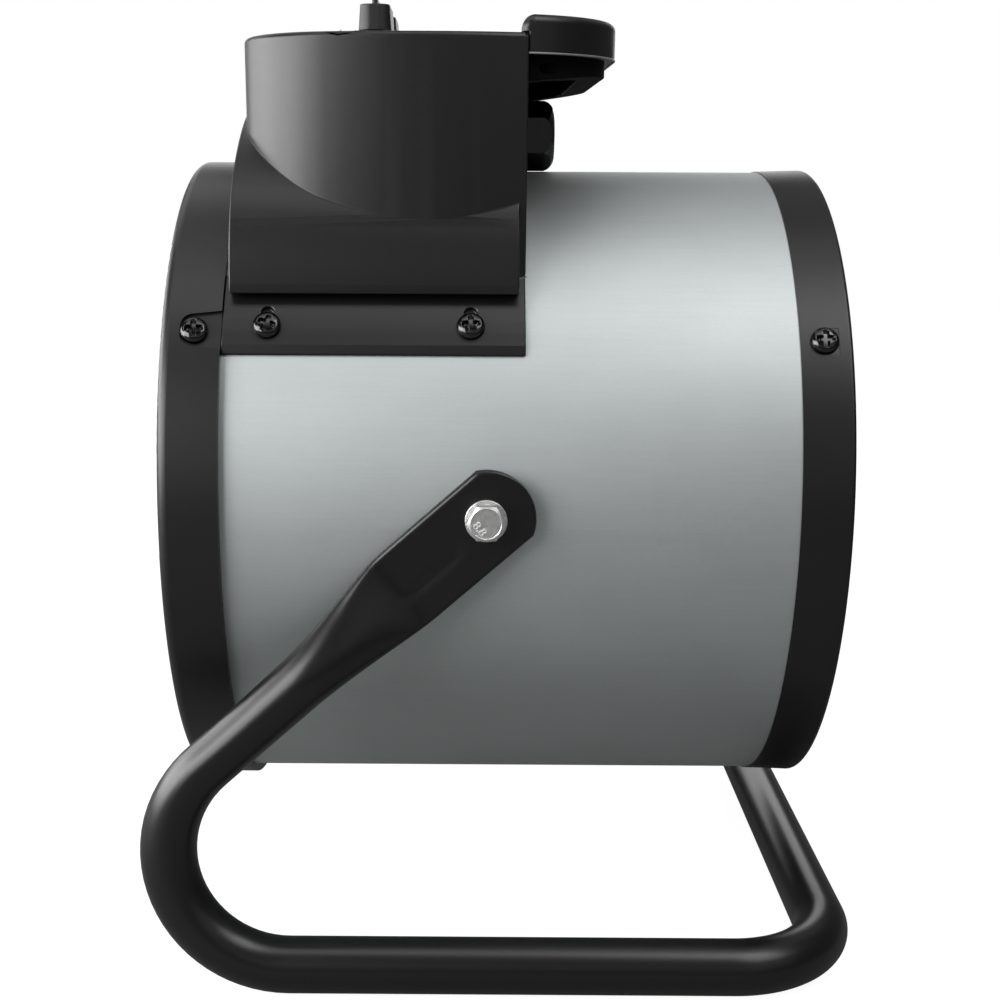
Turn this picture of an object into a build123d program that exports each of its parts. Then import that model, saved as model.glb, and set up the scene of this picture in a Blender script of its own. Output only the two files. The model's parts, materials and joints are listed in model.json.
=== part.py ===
from build123d import *
import math
import os

# Forced air heater: a sheet steel drum with an axial fan and ring elements inside, a moulded
# control housing on top, and a bent tube stand in which the drum tilts on two side bolts.
#
# All sizes are in millimetres.  +X runs along the drum from the intake to the outlet, +Z is up
# and z = 0 is the floor.  Places along the drum are measured from the middle of the drum, which
# lies drum_x away from the origin; the origin is the middle of the stand's footprint.

# ---- drum and end rings
drum_radius = 135.0
drum_wall = 1.0
overall_length = 264.0
axis_height = 177.3
ring_lip = 2.0
rear_ring_wall = 3.4
rear_ring_length = 23.4
rear_ring_round = 4.0
front_ring_wall = 1.1
front_ring_taper = 0.6
front_ring_length = 20.2
front_ring_round = 1.6
neck_draw = 2.4
neck_slope = 2.0
mouth_margin = 11.0
grille_rim_depth = 3.0
rear_grille_eye = 14.0
rear_grille_turns = 10
front_grille_eye = 20.0
front_grille_turns = 8
front_grille_margin = 6.0
clearance = 0.1

# ---- ring screws and housing screws
screw_head_radius = 5.0
screw_head_height = 3.0
screw_head_bevel = 1.3
screw_recess_width = 1.5
screw_recess_length = 5.4
screw_recess_depth = 1.6
screw_shank_radius = 2.4
screw_shank_length = 9.0
screw_hole_radius = 2.5
rear_screw_inset = 13.1
rear_screw_angle = 33.3
rear_pocket_width = 16.6
rear_pocket_narrowing = 2.0
rear_pocket_depth = 1.4
rear_pocket_reach = 5.3
rear_pocket_corner = 5.0
front_screw_inset = 10.9
front_screw_angle = 32.4
front_pad_width = 11.0
front_pad_depth = 0.5

# ---- stand
tube_radius = 11.0
tube_wall = 2.0
pivot_x = -7.5
pivot_rise = 8.1
arm_slope = 41.4
arm_bend_radius = 46.4
corner_bend_radius = 42.0
crossbar_x = 132.8
floor_run_spread = 21.4
flat_width = 33.0
flat_length = 41.5
flat_end_radius = 19.0
flat_to_round = 50.0
friction_washer_thickness = 2.6
vent_radius = 2.5

# ---- pivot bolts
bolt_radius = 4.0
bolt_running_clearance = 0.08
bolt_head_flats = 13.0
bolt_head_height = 5.3
washer_radius = 8.0
washer_thickness = 1.6
friction_washer_radius = 13.0
running_gap = 0.25
nut_height = 6.5
pivot_plate_length = 60.0
pivot_plate_span = 44.0
pivot_plate_thickness = 2.0

# ---- control housing
housing_wall = 2.5
housing_inset = 27.5
housing_length = 112.0
housing_step = 6.8
housing_bulge_offset = 73.5
housing_side_radius = 175.0
housing_corner_radius = 45.0
housing_rise = 50.1
housing_top_round = 2.0
skirt_left_overhang = 1.5
skirt_right_setback = 2.8
skirt_edge_angle = 41.3
skirt_overhang = 8.2
skirt_shoulder_radius = 60.0
skirt_shoulder_turn = 55.0
skirt_top_half_width = 46.0
skirt_drop = 28.0
strip_right_setback = 0.2
strip_thickness = 2.0
strip_edge_thickness = 0.8
strip_edge_bevel = 3.6
strip_low_angle = 29.5
strip_high_angle = 44.0
strip_screw_angle = 34.3
strip_screw_offsets = (13.2, 90.9)
strip_slot_length = 6.0
strip_pocket_radius = 7.0
panel_margin = 11.0
panel_thickness = 1.5
window_length = 62.0
window_width = 76.0
window_offset = 54.5

# ---- rotary controls
knob_offset = 51.1
knob_y = 26.0
knob_skirt_radius = 19.0
knob_skirt_height = 4.5
knob_bar_width = 13.6
knob_bar_height = 10.3
knob_ridge_width = 2.3
knob_ridge_height = 2.4
knob_gap = 0.6
spindle_radius = 3.0
spindle_running_clearance = 0.08
spindle_depth = 12.0
selector_size = 34.0
selector_height = 24.0
thermostat_length = 42.0
thermostat_width = 30.0
thermostat_height = 20.0

# ---- terminal block
terminal_inset = 14.5
terminal_y = 62.0
terminal_width = 18.0
terminal_length = 48.0
terminal_rise = 9.7
terminal_pitch = 9.0
terminal_ways = 5

# ---- handle
handle_front_x = 43.6
handle_step = 3.3
handle_corner_radius = 48.0
handle_bar = 15.0
handle_wall_height = 14.0
handle_rise = 6.6
handle_lip = 4.0
handle_root_drop = 10.0
handle_tip_drop = 6.0
handle_round = 3.0
handle_heel = 2.6
handle_heel_round = 5.0
handle_screw_inset = 9.5
handle_screw_drop = 5.0
handle_screw_grip = 12.0

# ---- cord gland
gland_rise = 15.1
gland_flats = 26.0
gland_length = 15.0
gland_body_radius = 8.0
gland_cap_wall = 3.0
gland_dome_length = 4.5
gland_dome_drop = 5.0
gland_bore_radius = 5.0
gland_seal_radius = 6.4
gland_locknut_thickness = 3.5
gland_tail = 7.0

# ---- air path, fan and motor
duct_gap = 17.0
duct_wall = 0.8
duct_motor_gap = 2.0
duct_front_inset = 16.0
duct_bracket_insets = (14.0, 20.0)
duct_bracket_angles = (30.0, 150.0, 270.0)
duct_bracket_thickness = 1.2
duct_bracket_length = 16.0
fan_offset = 19.0
fan_tip_gap = 10.0
fan_blades = 5
fan_blade_thickness = 1.6
fan_hub_radius = 21.0
fan_hub_length = 22.0
fan_root_chord = 26.0
fan_root_pitch = 48.0
fan_tip_chord = 62.0
fan_tip_pitch = 22.0
shaft_radius = 4.0
shaft_running_clearance = 0.08
motor_radius = 40.0
motor_inset = 28.0
motor_length = 50.0
motor_cap_radius = 26.0
motor_cap_length = 5.0
shaft_depth = 20.0
bracket_offset = 20.0
bracket_arm_width = 22.0
bracket_thickness = 2.5
bracket_tab_length = 18.0
bracket_angles = (30.0, 150.0, 270.0)

# ---- heating elements
element_inset = 80.0
element_rod_radius = 4.0
element_gap = 22.0
element_pitch = 26.0
element_leg_offsets = (5.6, 17.6, 29.6)
element_leg_bend = 9.0
element_leg_gap = 6.0
bush_radius = 5.6
bush_rise = 4.0
support_angles = (210.0, 270.0, 330.0)
support_width = 14.0
support_thickness = 1.5
cutout_radius = 8.5
cutout_height = 9.0
cutout_offset = 36.0

# ---- values that follow from the driving dimensions
slope = math.radians(arm_slope)
drum_top = axis_height + drum_radius
rear_ring_radius = drum_radius + rear_ring_wall
front_ring_radius = drum_radius + front_ring_wall
neck_radius = drum_radius - neck_draw
mouth_radius = drum_radius - mouth_margin
pivot_height = axis_height + pivot_rise
flat_inner_y = drum_radius + friction_washer_thickness
floor_run_y = flat_inner_y + floor_run_spread
skirt_edge_height = axis_height + drum_radius * math.sin(math.radians(skirt_edge_angle))
skirt_half_width = drum_radius * math.cos(math.radians(skirt_edge_angle)) + skirt_overhang
housing_half_width = skirt_half_width - housing_step
housing_top = drum_top + housing_rise
skirt_top_height = housing_top - skirt_drop
handle_half_width = housing_half_width - handle_step
terminal_top = drum_top + terminal_rise
gland_height = drum_top + gland_rise
duct_radius = drum_radius - duct_gap
fan_tip_radius = duct_radius - fan_tip_gap
element_radii = [duct_radius - element_gap - k * element_pitch for k in (2, 1, 0)]
element_leg_top = drum_radius - element_leg_gap
rear_end = -overall_length / 2
front_end = overall_length / 2
shell_rear_x = rear_end + ring_lip + grille_rim_depth + clearance
shell_front_x = front_end - ring_lip - grille_rim_depth - clearance
rear_screw_x = rear_end + rear_screw_inset
front_screw_x = front_end - front_screw_inset
housing_left_x = rear_end + housing_inset
housing_right_x = housing_left_x + housing_length
housing_bulge_x = housing_left_x + housing_bulge_offset
skirt_left_x = housing_left_x - skirt_left_overhang
skirt_right_x = housing_right_x - skirt_right_setback
strip_left_x = rear_end + rear_ring_length
strip_right_x = housing_right_x - strip_right_setback
strip_screw_x = [housing_left_x + inward for inward in strip_screw_offsets]
window_x = housing_left_x + window_offset
knob_x = housing_left_x + knob_offset
terminal_x = housing_right_x - terminal_inset
motor_rear_x = rear_end + motor_inset
motor_front_x = motor_rear_x + motor_length
bracket_x = motor_rear_x + bracket_offset
duct_rear_x = motor_front_x + duct_motor_gap
duct_front_x = front_end - duct_front_inset
duct_bracket_x = (duct_rear_x + duct_bracket_insets[0], duct_front_x - duct_bracket_insets[1])
fan_x = motor_front_x + fan_offset
element_x = front_end - element_inset
cutout_x = element_x - cutout_offset
arm_foot_x = pivot_x - (pivot_height - tube_radius) / math.tan(slope)
arm_bend_x = arm_foot_x + arm_bend_radius * math.tan((math.pi - slope) / 2)
footprint_rear_x = arm_bend_x - arm_bend_radius - tube_radius
footprint_front_x = crossbar_x + tube_radius
drum_x = -(footprint_rear_x + footprint_front_x) / 2

drum_axis = Axis((drum_x, 0, axis_height), (1, 0, 0))
along = Plane(origin=(drum_x, 0, axis_height), x_dir=(1, 0, 0), z_dir=(0, -1, 0))


def across(x):
    """Plane square to the drum axis; local X is +Y, local Y is up, the normal is +X."""
    return Plane(origin=(drum_x + x, 0, axis_height), x_dir=(0, 1, 0), z_dir=(1, 0, 0))


def on_drum(x, angle, radius):
    """Plane touching a cylinder about the drum axis; the angle runs from +Y up, normal outwards."""
    out = (0, math.cos(math.radians(angle)), math.sin(math.radians(angle)))
    centre = (drum_x + x, radius * out[1], axis_height + radius * out[2])
    return Plane(origin=centre, x_dir=(1, 0, 0), z_dir=out)


def side_plane(y, facing):
    """Upright plane through the pivot axis; local Y is up, the normal is facing times +Y."""
    return Plane(origin=(drum_x + pivot_x, y, pivot_height), x_dir=(-facing, 0, 0), z_dir=(0, facing, 0))


def level(z):
    """Level plane with its origin above the middle of the drum."""
    return Plane(origin=(drum_x, 0, z), x_dir=(1, 0, 0), z_dir=(0, 0, 1))


def wall_plane(x, y, z):
    """Plane parallel to the housing's right wall; local X is +Y, the normal is +X."""
    return Plane(origin=(drum_x + x, y, z), x_dir=(0, 1, 0), z_dir=(1, 0, 0))


def disc(plane, radius, amount, mode=Mode.ADD):
    """Round boss or hole from a plane along its normal."""
    with BuildSketch(plane) as face:
        Circle(radius)
    extrude(face.sketch, amount=amount, mode=mode)


def ring(plane, outer, inner, amount, mode=Mode.ADD):
    """Flat ring from a plane along its normal."""
    with BuildSketch(plane) as face:
        Circle(outer)
        Circle(inner, mode=Mode.SUBTRACT)
    extrude(face.sketch, amount=amount, mode=mode)


def hexagon(plane, flats, bore, amount, turn=0):
    """Hexagon nut or head from a plane along its normal, with a bore if one is given."""
    with BuildSketch(plane) as face:
        RegularPolygon(flats / 2, 6, major_radius=False, rotation=turn)
        if bore:
            Circle(bore, mode=Mode.SUBTRACT)
    extrude(face.sketch, amount=amount)


def profile(points):
    """Closed outline of straight lines in the plane of the drum axis, turned about that axis."""
    with BuildSketch(along) as face:
        with BuildLine():
            Polyline(points, close=True)
        make_face()
    revolve(face.sketch, axis=drum_axis)


def keep(built, name):
    """Label a finished piece and write its file."""
    built.part.label = name
    export_step(built.part, "parts/" + name + ".step")


os.makedirs("parts", exist_ok=True)


def mirrored(angle):
    """The same height on the near side and on the far side of the drum."""
    return (180.0 - angle, angle)


# ---- drum shell: rolled sheet, drawn in at the front so that the front ring lies nearly flush
shell_inner = drum_radius - drum_wall
neck_start_x = front_end - front_ring_length + 0.4
with BuildPart() as drum_shell:
    profile([
        (shell_rear_x, shell_inner),
        (shell_rear_x, drum_radius),
        (neck_start_x, drum_radius),
        (neck_start_x + neck_slope, neck_radius),
        (shell_front_x, neck_radius),
        (shell_front_x, neck_radius - drum_wall),
        (neck_start_x + neck_slope, neck_radius - drum_wall),
        (neck_start_x, shell_inner),
    ])
    with BuildSketch(level(axis_height)):
        with Locations((window_x, 0)):
            RectangleRounded(window_length, window_width, 6)
    extrude(amount=drum_radius + 1, mode=Mode.SUBTRACT)
    for facing in (-1, 1):
        disc(side_plane(0, facing), bolt_radius + 0.3, drum_radius + 1, Mode.SUBTRACT)
    for angle in mirrored(rear_screw_angle) + (270.0,):
        disc(on_drum(rear_screw_x, angle, drum_radius / 2), screw_hole_radius, drum_radius, Mode.SUBTRACT)
    for angle in mirrored(front_screw_angle) + (270.0,):
        disc(on_drum(front_screw_x, angle, drum_radius / 2), screw_hole_radius, drum_radius, Mode.SUBTRACT)
    for x in strip_screw_x:
        for angle in mirrored(strip_screw_angle):
            disc(on_drum(x, angle, drum_radius / 2), screw_hole_radius, drum_radius, Mode.SUBTRACT)
keep(drum_shell, "drum_shell")

# ---- rear ring: moulded cap over the intake end, with a flat pocket round each screw
rear_ring_inner_x = rear_end + rear_ring_length
rear_seat = rear_ring_radius - rear_pocket_depth
with BuildPart() as rear_ring:
    profile([
        (rear_end, mouth_radius),
        (rear_end, rear_ring_radius),
        (rear_ring_inner_x, rear_ring_radius),
        (rear_ring_inner_x, drum_radius + clearance),
        (rear_end + ring_lip, drum_radius + clearance),
        (rear_end + ring_lip, mouth_radius),
    ])
    outer_edge = rear_ring.edges().filter_by(GeomType.CIRCLE).group_by(Axis.X)[0].sort_by(SortBy.RADIUS)[-1]
    fillet(outer_edge, radius=rear_ring_round)
    pocket_right = rear_ring_inner_x - rear_screw_x + 1
    wide = rear_pocket_width / 2
    narrow = wide - rear_pocket_narrowing
    for angle in mirrored(rear_screw_angle) + (270.0,):
        with BuildSketch(on_drum(rear_screw_x, angle, rear_seat)) as pocket:
            with BuildLine():
                Polyline(
                    (pocket_right, -wide),
                    (pocket_right, wide),
                    (-rear_pocket_reach, narrow),
                    (-rear_pocket_reach, -narrow),
                    close=True,
                )
            make_face()
            fillet(pocket.vertices().group_by(Axis.X)[0], radius=rear_pocket_corner)
        extrude(amount=10, mode=Mode.SUBTRACT)
        disc(on_drum(rear_screw_x, angle, drum_radius / 2), screw_hole_radius, drum_radius, Mode.SUBTRACT)
keep(rear_ring, "rear_ring")

# ---- front ring: slimmer, slightly tapered, with a flat pad round each screw
front_ring_inner_x = front_end - front_ring_length
front_seat = front_ring_radius - front_pad_depth
with BuildPart() as front_ring:
    profile([
        (front_end, mouth_radius),
        (front_end, front_ring_radius),
        (front_ring_inner_x, front_ring_radius - front_ring_taper),
        (front_ring_inner_x, drum_radius + clearance),
        (neck_start_x + neck_slope, drum_radius + clearance),
        (neck_start_x + neck_slope, neck_radius + clearance),
        (front_end - ring_lip, neck_radius + clearance),
        (front_end - ring_lip, mouth_radius),
    ])
    outer_edge = front_ring.edges().filter_by(GeomType.CIRCLE).group_by(Axis.X)[-1].sort_by(SortBy.RADIUS)[-1]
    fillet(outer_edge, radius=front_ring_round)
    for angle in mirrored(front_screw_angle) + (270.0,):
        with BuildSketch(on_drum(front_screw_x, angle, front_seat)):
            Rectangle(front_pad_width, front_pad_width)
        extrude(amount=10, mode=Mode.SUBTRACT)
        disc(on_drum(front_screw_x, angle, drum_radius / 2), screw_hole_radius, drum_radius, Mode.SUBTRACT)
keep(front_ring, "front_ring")


def pan_screw(plane):
    """Pan head screw whose head rests on the plane, with a bevelled crown and a cross recess."""
    disc(plane, screw_head_radius, screw_head_height - screw_head_bevel)
    with BuildSketch(plane.offset(screw_head_height - screw_head_bevel)) as crown:
        Circle(screw_head_radius)
    extrude(crown.sketch, amount=screw_head_bevel, taper=45)
    disc(plane, screw_shank_radius, -screw_shank_length)
    with BuildSketch(plane.offset(screw_head_height)) as cross:
        Rectangle(screw_recess_length, screw_recess_width)
        Rectangle(screw_recess_width, screw_recess_length)
    extrude(cross.sketch, amount=-screw_recess_depth, mode=Mode.SUBTRACT)


with BuildPart() as rear_ring_screws:
    for angle in mirrored(rear_screw_angle) + (270.0,):
        pan_screw(on_drum(rear_screw_x, angle, rear_seat + clearance))
keep(rear_ring_screws, "rear_ring_screws")

with BuildPart() as front_ring_screws:
    for angle in mirrored(front_screw_angle) + (270.0,):
        pan_screw(on_drum(front_screw_x, angle, front_seat + clearance))
keep(front_ring_screws, "front_ring_screws")


def wire_grille(plane, rim_outer, bar, ring_radii, spokes, hub):
    """Guard of flat bars: a rim, evenly spaced rings, a hub disc and radial spokes behind them."""
    ring(plane, rim_outer, mouth_radius - 2, grille_rim_depth)
    disc(plane, hub, grille_rim_depth / 2)
    for radius in ring_radii:
        ring(plane, radius + bar / 2, radius - bar / 2, grille_rim_depth / 2)
    reach = mouth_radius - 1
    with BuildSketch(plane.offset(grille_rim_depth / 2)) as bars:
        with PolarLocations(reach / 2, spokes):
            Rectangle(reach, bar)
    extrude(bars.sketch, amount=grille_rim_depth / 2)


# ---- guards over the intake and the outlet
rear_grille_pitch = (mouth_radius - rear_grille_eye) / rear_grille_turns
rear_grille_rings = [rear_grille_eye + k * rear_grille_pitch for k in range(rear_grille_turns)]
with BuildPart() as rear_grille:
    wire_grille(across(rear_end + ring_lip), drum_radius - 0.2, 2.4, rear_grille_rings, 8, 12.0)
keep(rear_grille, "rear_grille")

front_grille_pitch = (mouth_radius - front_grille_margin - front_grille_eye) / (front_grille_turns - 1)
front_grille_rings = [front_grille_eye + k * front_grille_pitch for k in range(front_grille_turns)]
with BuildPart() as front_grille:
    wire_grille(
        across(front_end - ring_lip - grille_rim_depth), neck_radius - 0.1, 2.6, front_grille_rings, 6, 16.0
    )
keep(front_grille, "front_grille")

# ---- tube stand: a U on the floor whose two ends rise, lean forward and are pressed flat
arm_down = Vector(-math.cos(slope), 0, -math.sin(slope))
arm_across = Vector(-math.sin(slope), 0, math.cos(slope))
pivot = Vector(drum_x + pivot_x, 0, pivot_height)
flat_thickness = 2 * tube_wall
knee_reach = flat_length + flat_to_round
middle_thickness = (flat_thickness + 2 * tube_radius) / 2
middle_width = (flat_width + 2 * tube_radius) / 2


def side_points(facing):
    """Knee below the flat, foot of the arm and front corner of the tube's centre line on one side."""
    knee = pivot + arm_down * knee_reach + Vector(0, facing * (flat_inner_y + tube_radius), 0)
    foot = Vector(drum_x + arm_foot_x, facing * floor_run_y, tube_radius)
    corner = Vector(drum_x + crossbar_x, facing * floor_run_y, tube_radius)
    return [knee, foot, corner]


def arm_section(facing, reach, thickness):
    """Plane across the arm, centred so that the inner side stays in line with the flat."""
    centre = pivot + arm_down * reach + Vector(0, facing * (flat_inner_y + thickness / 2), 0)
    return Plane(origin=centre, x_dir=arm_across, z_dir=arm_down)


near_points = side_points(-1)
far_points = side_points(1)
with BuildPart() as stand_tube:
    with BuildLine() as rail:
        FilletPolyline(
            near_points + far_points[::-1],
            radius=[arm_bend_radius, corner_bend_radius, corner_bend_radius, arm_bend_radius],
        )
    with BuildSketch(Plane(origin=near_points[0], z_dir=near_points[1] - near_points[0])):
        Circle(tube_radius)
        Circle(tube_radius - tube_wall, mode=Mode.SUBTRACT)
    sweep(path=rail.wires()[0])
    for facing, (knee, foot, corner) in ((-1, near_points), (1, far_points)):
        with BuildSketch(arm_section(facing, flat_length, flat_thickness)):
            RectangleRounded(flat_width, flat_thickness, flat_thickness / 2 - 0.1)
        half_way = arm_section(facing, flat_length + flat_to_round / 2, middle_thickness)
        with BuildSketch(half_way):
            RectangleRounded(middle_width, middle_thickness, middle_thickness / 2 - 0.1)
        with BuildSketch(Plane(origin=knee, x_dir=arm_across, z_dir=foot - knee)):
            Circle(tube_radius)
        loft()
        face_y = facing * flat_inner_y
        end_corner = math.sqrt(flat_end_radius**2 - flat_width**2 / 4)
        with BuildSketch(Plane(origin=pivot + Vector(0, face_y, 0), x_dir=-arm_down, z_dir=(0, facing, 0))):
            with BuildLine():
                Line((end_corner, -flat_width / 2), (-flat_length, -flat_width / 2))
                Line((-flat_length, -flat_width / 2), (-flat_length, flat_width / 2))
                Line((-flat_length, flat_width / 2), (end_corner, flat_width / 2))
                ThreePointArc(
                    (end_corner, flat_width / 2), (flat_end_radius, 0), (end_corner, -flat_width / 2)
                )
            make_face()
            Circle(bolt_radius + bolt_running_clearance, mode=Mode.SUBTRACT)
        extrude(amount=flat_thickness)
    vent = Plane(origin=(drum_x + crossbar_x, 0, tube_radius), x_dir=(0, 1, 0), z_dir=(-1, 0, 0))
    disc(vent, vent_radius, 2 * tube_radius, Mode.SUBTRACT)
keep(stand_tube, "stand_tube")

# ---- pivot hardware: friction washer, plain washer and bolt on each side, nut and plate within
arm_outer_y = flat_inner_y + flat_thickness
bolt_seat_y = arm_outer_y + running_gap + washer_thickness
plate_outer = shell_inner - clearance
plate_inner = plate_outer - pivot_plate_thickness
nut_corner_height = abs(pivot_rise) + bolt_head_flats / math.sqrt(3)
nut_seat_y = math.sqrt(plate_inner**2 - nut_corner_height**2)
bolt_hole_radius = bolt_radius + bolt_running_clearance
bolt_end_y = nut_seat_y - nut_height - 2.0

with BuildPart() as friction_washers:
    for facing in (-1, 1):
        ring(
            side_plane(facing * (drum_radius - 10), facing),
            friction_washer_radius,
            bolt_hole_radius,
            flat_inner_y - running_gap - drum_radius + 10,
        )
    disc(across(pivot_x - 2 * friction_washer_radius), drum_radius + 0.05, 4 * friction_washer_radius, Mode.SUBTRACT)
keep(friction_washers, "friction_washers")

with BuildPart() as pivot_washers:
    for facing in (-1, 1):
        ring(side_plane(facing * bolt_seat_y, facing), washer_radius, bolt_hole_radius, -washer_thickness)
keep(pivot_washers, "pivot_washers")

with BuildPart() as pivot_bolts:
    for facing in (-1, 1):
        hexagon(side_plane(facing * bolt_seat_y, facing), bolt_head_flats, 0, bolt_head_height)
        disc(side_plane(facing * bolt_end_y, facing), bolt_radius, bolt_seat_y - bolt_end_y)
keep(pivot_bolts, "pivot_bolts")

with BuildPart() as pivot_nuts:
    for facing in (-1, 1):
        hexagon(side_plane(facing * nut_seat_y, facing), bolt_head_flats, bolt_hole_radius, -nut_height)
keep(pivot_nuts, "pivot_nuts")

with BuildPart() as pivot_plates:
    ring(across(pivot_x - pivot_plate_length / 2), plate_outer, plate_inner, pivot_plate_length)
    with Locations((pivot.X, -drum_radius, pivot_height), (pivot.X, drum_radius, pivot_height)):
        Box(pivot_plate_length, drum_radius, pivot_plate_span, mode=Mode.INTERSECT)
    for facing in (-1, 1):
        disc(side_plane(0, facing), bolt_radius + 0.3, drum_radius, Mode.SUBTRACT)
keep(pivot_plates, "pivot_plates")


# ---- control housing: upright box with bowed sides on a shouldered skirt that hugs the drum
def housing_plan(plane, margin):
    """Outline of the box from above, drawn in all round by the margin, mirrored about the axis."""
    side_centre = (housing_bulge_x, housing_side_radius - housing_half_width)
    corner_x = housing_left_x + housing_corner_radius
    centres_apart = housing_side_radius - housing_corner_radius
    corner_y = side_centre[1] - math.sqrt(centres_apart**2 - (housing_bulge_x - corner_x) ** 2)
    side_radius = housing_side_radius - margin
    corner_radius = housing_corner_radius - margin
    left = housing_left_x + margin
    right = housing_right_x - margin
    right_y = side_centre[1] - math.sqrt(side_radius**2 - (right - housing_bulge_x) ** 2)
    turn = math.atan2(corner_y - side_centre[1], corner_x - side_centre[0])
    join = (side_centre[0] + side_radius * math.cos(turn), side_centre[1] + side_radius * math.sin(turn))
    half_turn = (turn - math.pi) / 2
    corner_mid = (
        corner_x + corner_radius * math.cos(half_turn),
        corner_y + corner_radius * math.sin(half_turn),
    )
    with BuildSketch(plane) as plan:
        with BuildLine():
            Line((right, 0), (right, right_y))
            ThreePointArc((right, right_y), (housing_bulge_x, side_centre[1] - side_radius), join)
            ThreePointArc(join, corner_mid, (left, corner_y))
            Line((left, corner_y), (left, 0))
            mirror(about=Plane.XZ)
        make_face()
    return plan.sketch


def skirt_profile(x, margin):
    """Shouldered outline across the drum, drawn in all round by the margin."""
    plane = Plane(origin=(drum_x + x, 0, 0), x_dir=(0, 1, 0), z_dir=(1, 0, 0))
    with BuildSketch(plane) as section:
        with BuildLine():
            Line((0, skirt_edge_height), (skirt_half_width, skirt_edge_height))
            shoulder = JernArc(
                start=(skirt_half_width, skirt_edge_height), tangent=(0, 1), radius=skirt_shoulder_radius,
                arc_size=skirt_shoulder_turn,
            )
            brow = TangentArc(
                shoulder @ 1, (skirt_top_half_width, skirt_top_height), tangent=shoulder % 1
            )
            Line(brow @ 1, (0, skirt_top_height))
            mirror(about=Plane.YZ)
        make_face()
        if margin:
            offset(amount=-margin, mode=Mode.REPLACE)
    return section.sketch


def strip_section(plane):
    """Cross-section of the far strip that hugs the drum, thinned along its lower edge."""
    low = math.radians(strip_low_angle)
    bevel = math.degrees(strip_edge_bevel / strip_outer)
    edge = strip_inner + strip_edge_thickness
    with BuildSketch(plane) as section:
        with BuildLine():
            inside = CenterArc((0, 0), strip_inner, strip_low_angle, strip_high_angle - strip_low_angle)
            outside = CenterArc(
                (0, 0), strip_outer, strip_low_angle + bevel, strip_high_angle - strip_low_angle - bevel
            )
            Polyline(inside @ 0, (edge * math.cos(low), edge * math.sin(low)), outside @ 0)
            Line(inside @ 1, outside @ 1)
        make_face()
    return section.sketch


strip_inner = drum_radius + clearance
strip_outer = strip_inner + strip_thickness
floor_of_housing = skirt_edge_height - 20
panel_floor = housing_top - panel_thickness
switch_top = housing_top - housing_wall - clearance
spindle_hole_radius = spindle_radius + 1
thread_hole_radius = gland_body_radius + 0.1
handle_top = housing_top + handle_rise
handle_split = handle_top - handle_wall_height
handle_screw_y = handle_half_width - handle_screw_inset
handle_screw_z = handle_split - handle_screw_drop
with BuildPart() as control_housing:
    extrude(housing_plan(level(floor_of_housing), 0), amount=housing_top - floor_of_housing)
    top_edges = control_housing.edges().group_by(Axis.Z)[-1]
    fillet(top_edges, radius=housing_top_round)
    extrude(skirt_profile(skirt_left_x, 0), amount=skirt_right_x - skirt_left_x)
    cavity_height = housing_top - housing_wall - floor_of_housing + 10
    extrude(housing_plan(level(floor_of_housing - 10), housing_wall), amount=cavity_height, mode=Mode.SUBTRACT)
    extrude(
        skirt_profile(skirt_left_x + housing_wall, housing_wall),
        amount=skirt_right_x - skirt_left_x - 2 * housing_wall,
        mode=Mode.SUBTRACT,
    )
    with BuildSketch(across(strip_left_x - 1)):
        Circle(strip_outer)
    extrude(amount=strip_right_x - strip_left_x + 5, mode=Mode.SUBTRACT)
    far_strip = strip_section(across(strip_left_x))
    extrude(far_strip, amount=strip_right_x - strip_left_x)
    extrude(mirror(far_strip, about=Plane.XZ, mode=Mode.PRIVATE), amount=strip_right_x - strip_left_x)
    extrude(housing_plan(level(panel_floor), panel_margin), amount=2 * panel_thickness, mode=Mode.SUBTRACT)
    for x in strip_screw_x:
        for angle in mirrored(strip_screw_angle):
            disc(on_drum(x, angle, strip_outer), strip_pocket_radius, 30, Mode.SUBTRACT)
            screw_seat = on_drum(x, angle, drum_radius)
            disc(screw_seat, screw_hole_radius, 10, Mode.SUBTRACT)
            with BuildSketch(screw_seat):
                with Locations((0, (-strip_slot_length if angle < 90 else strip_slot_length) / 2)):
                    SlotOverall(strip_slot_length + 2 * screw_hole_radius, 2 * screw_hole_radius, rotation=90)
            extrude(amount=10, mode=Mode.SUBTRACT)
    for facing in (-1, 1):
        with Locations((drum_x + knob_x, facing * knob_y, housing_top)):
            Cylinder(spindle_hole_radius, 20, mode=Mode.SUBTRACT)
        handle_screw_hole = wall_plane(0, facing * handle_screw_y, handle_screw_z)
        disc(handle_screw_hole, screw_hole_radius, 2 * housing_right_x, Mode.SUBTRACT)
    disc(wall_plane(0, 0, gland_height), thread_hole_radius, 2 * housing_right_x, Mode.SUBTRACT)
keep(control_housing, "control_housing")

# ---- fascia plate let into the top, with the two rotary controls
with BuildPart() as control_panel:
    extrude(housing_plan(level(panel_floor), panel_margin + clearance), amount=panel_thickness)
    for facing in (-1, 1):
        with Locations((drum_x + knob_x, facing * knob_y, housing_top)):
            Cylinder(spindle_hole_radius, 20, mode=Mode.SUBTRACT)
keep(control_panel, "control_panel")

knob_base = housing_top + knob_gap
knob_skirt_top = knob_base + knob_skirt_height
knob_bar_top = knob_skirt_top + knob_bar_height
spindle_bottom = switch_top - spindle_depth
spindle_top = knob_bar_top - 3.0


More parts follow.
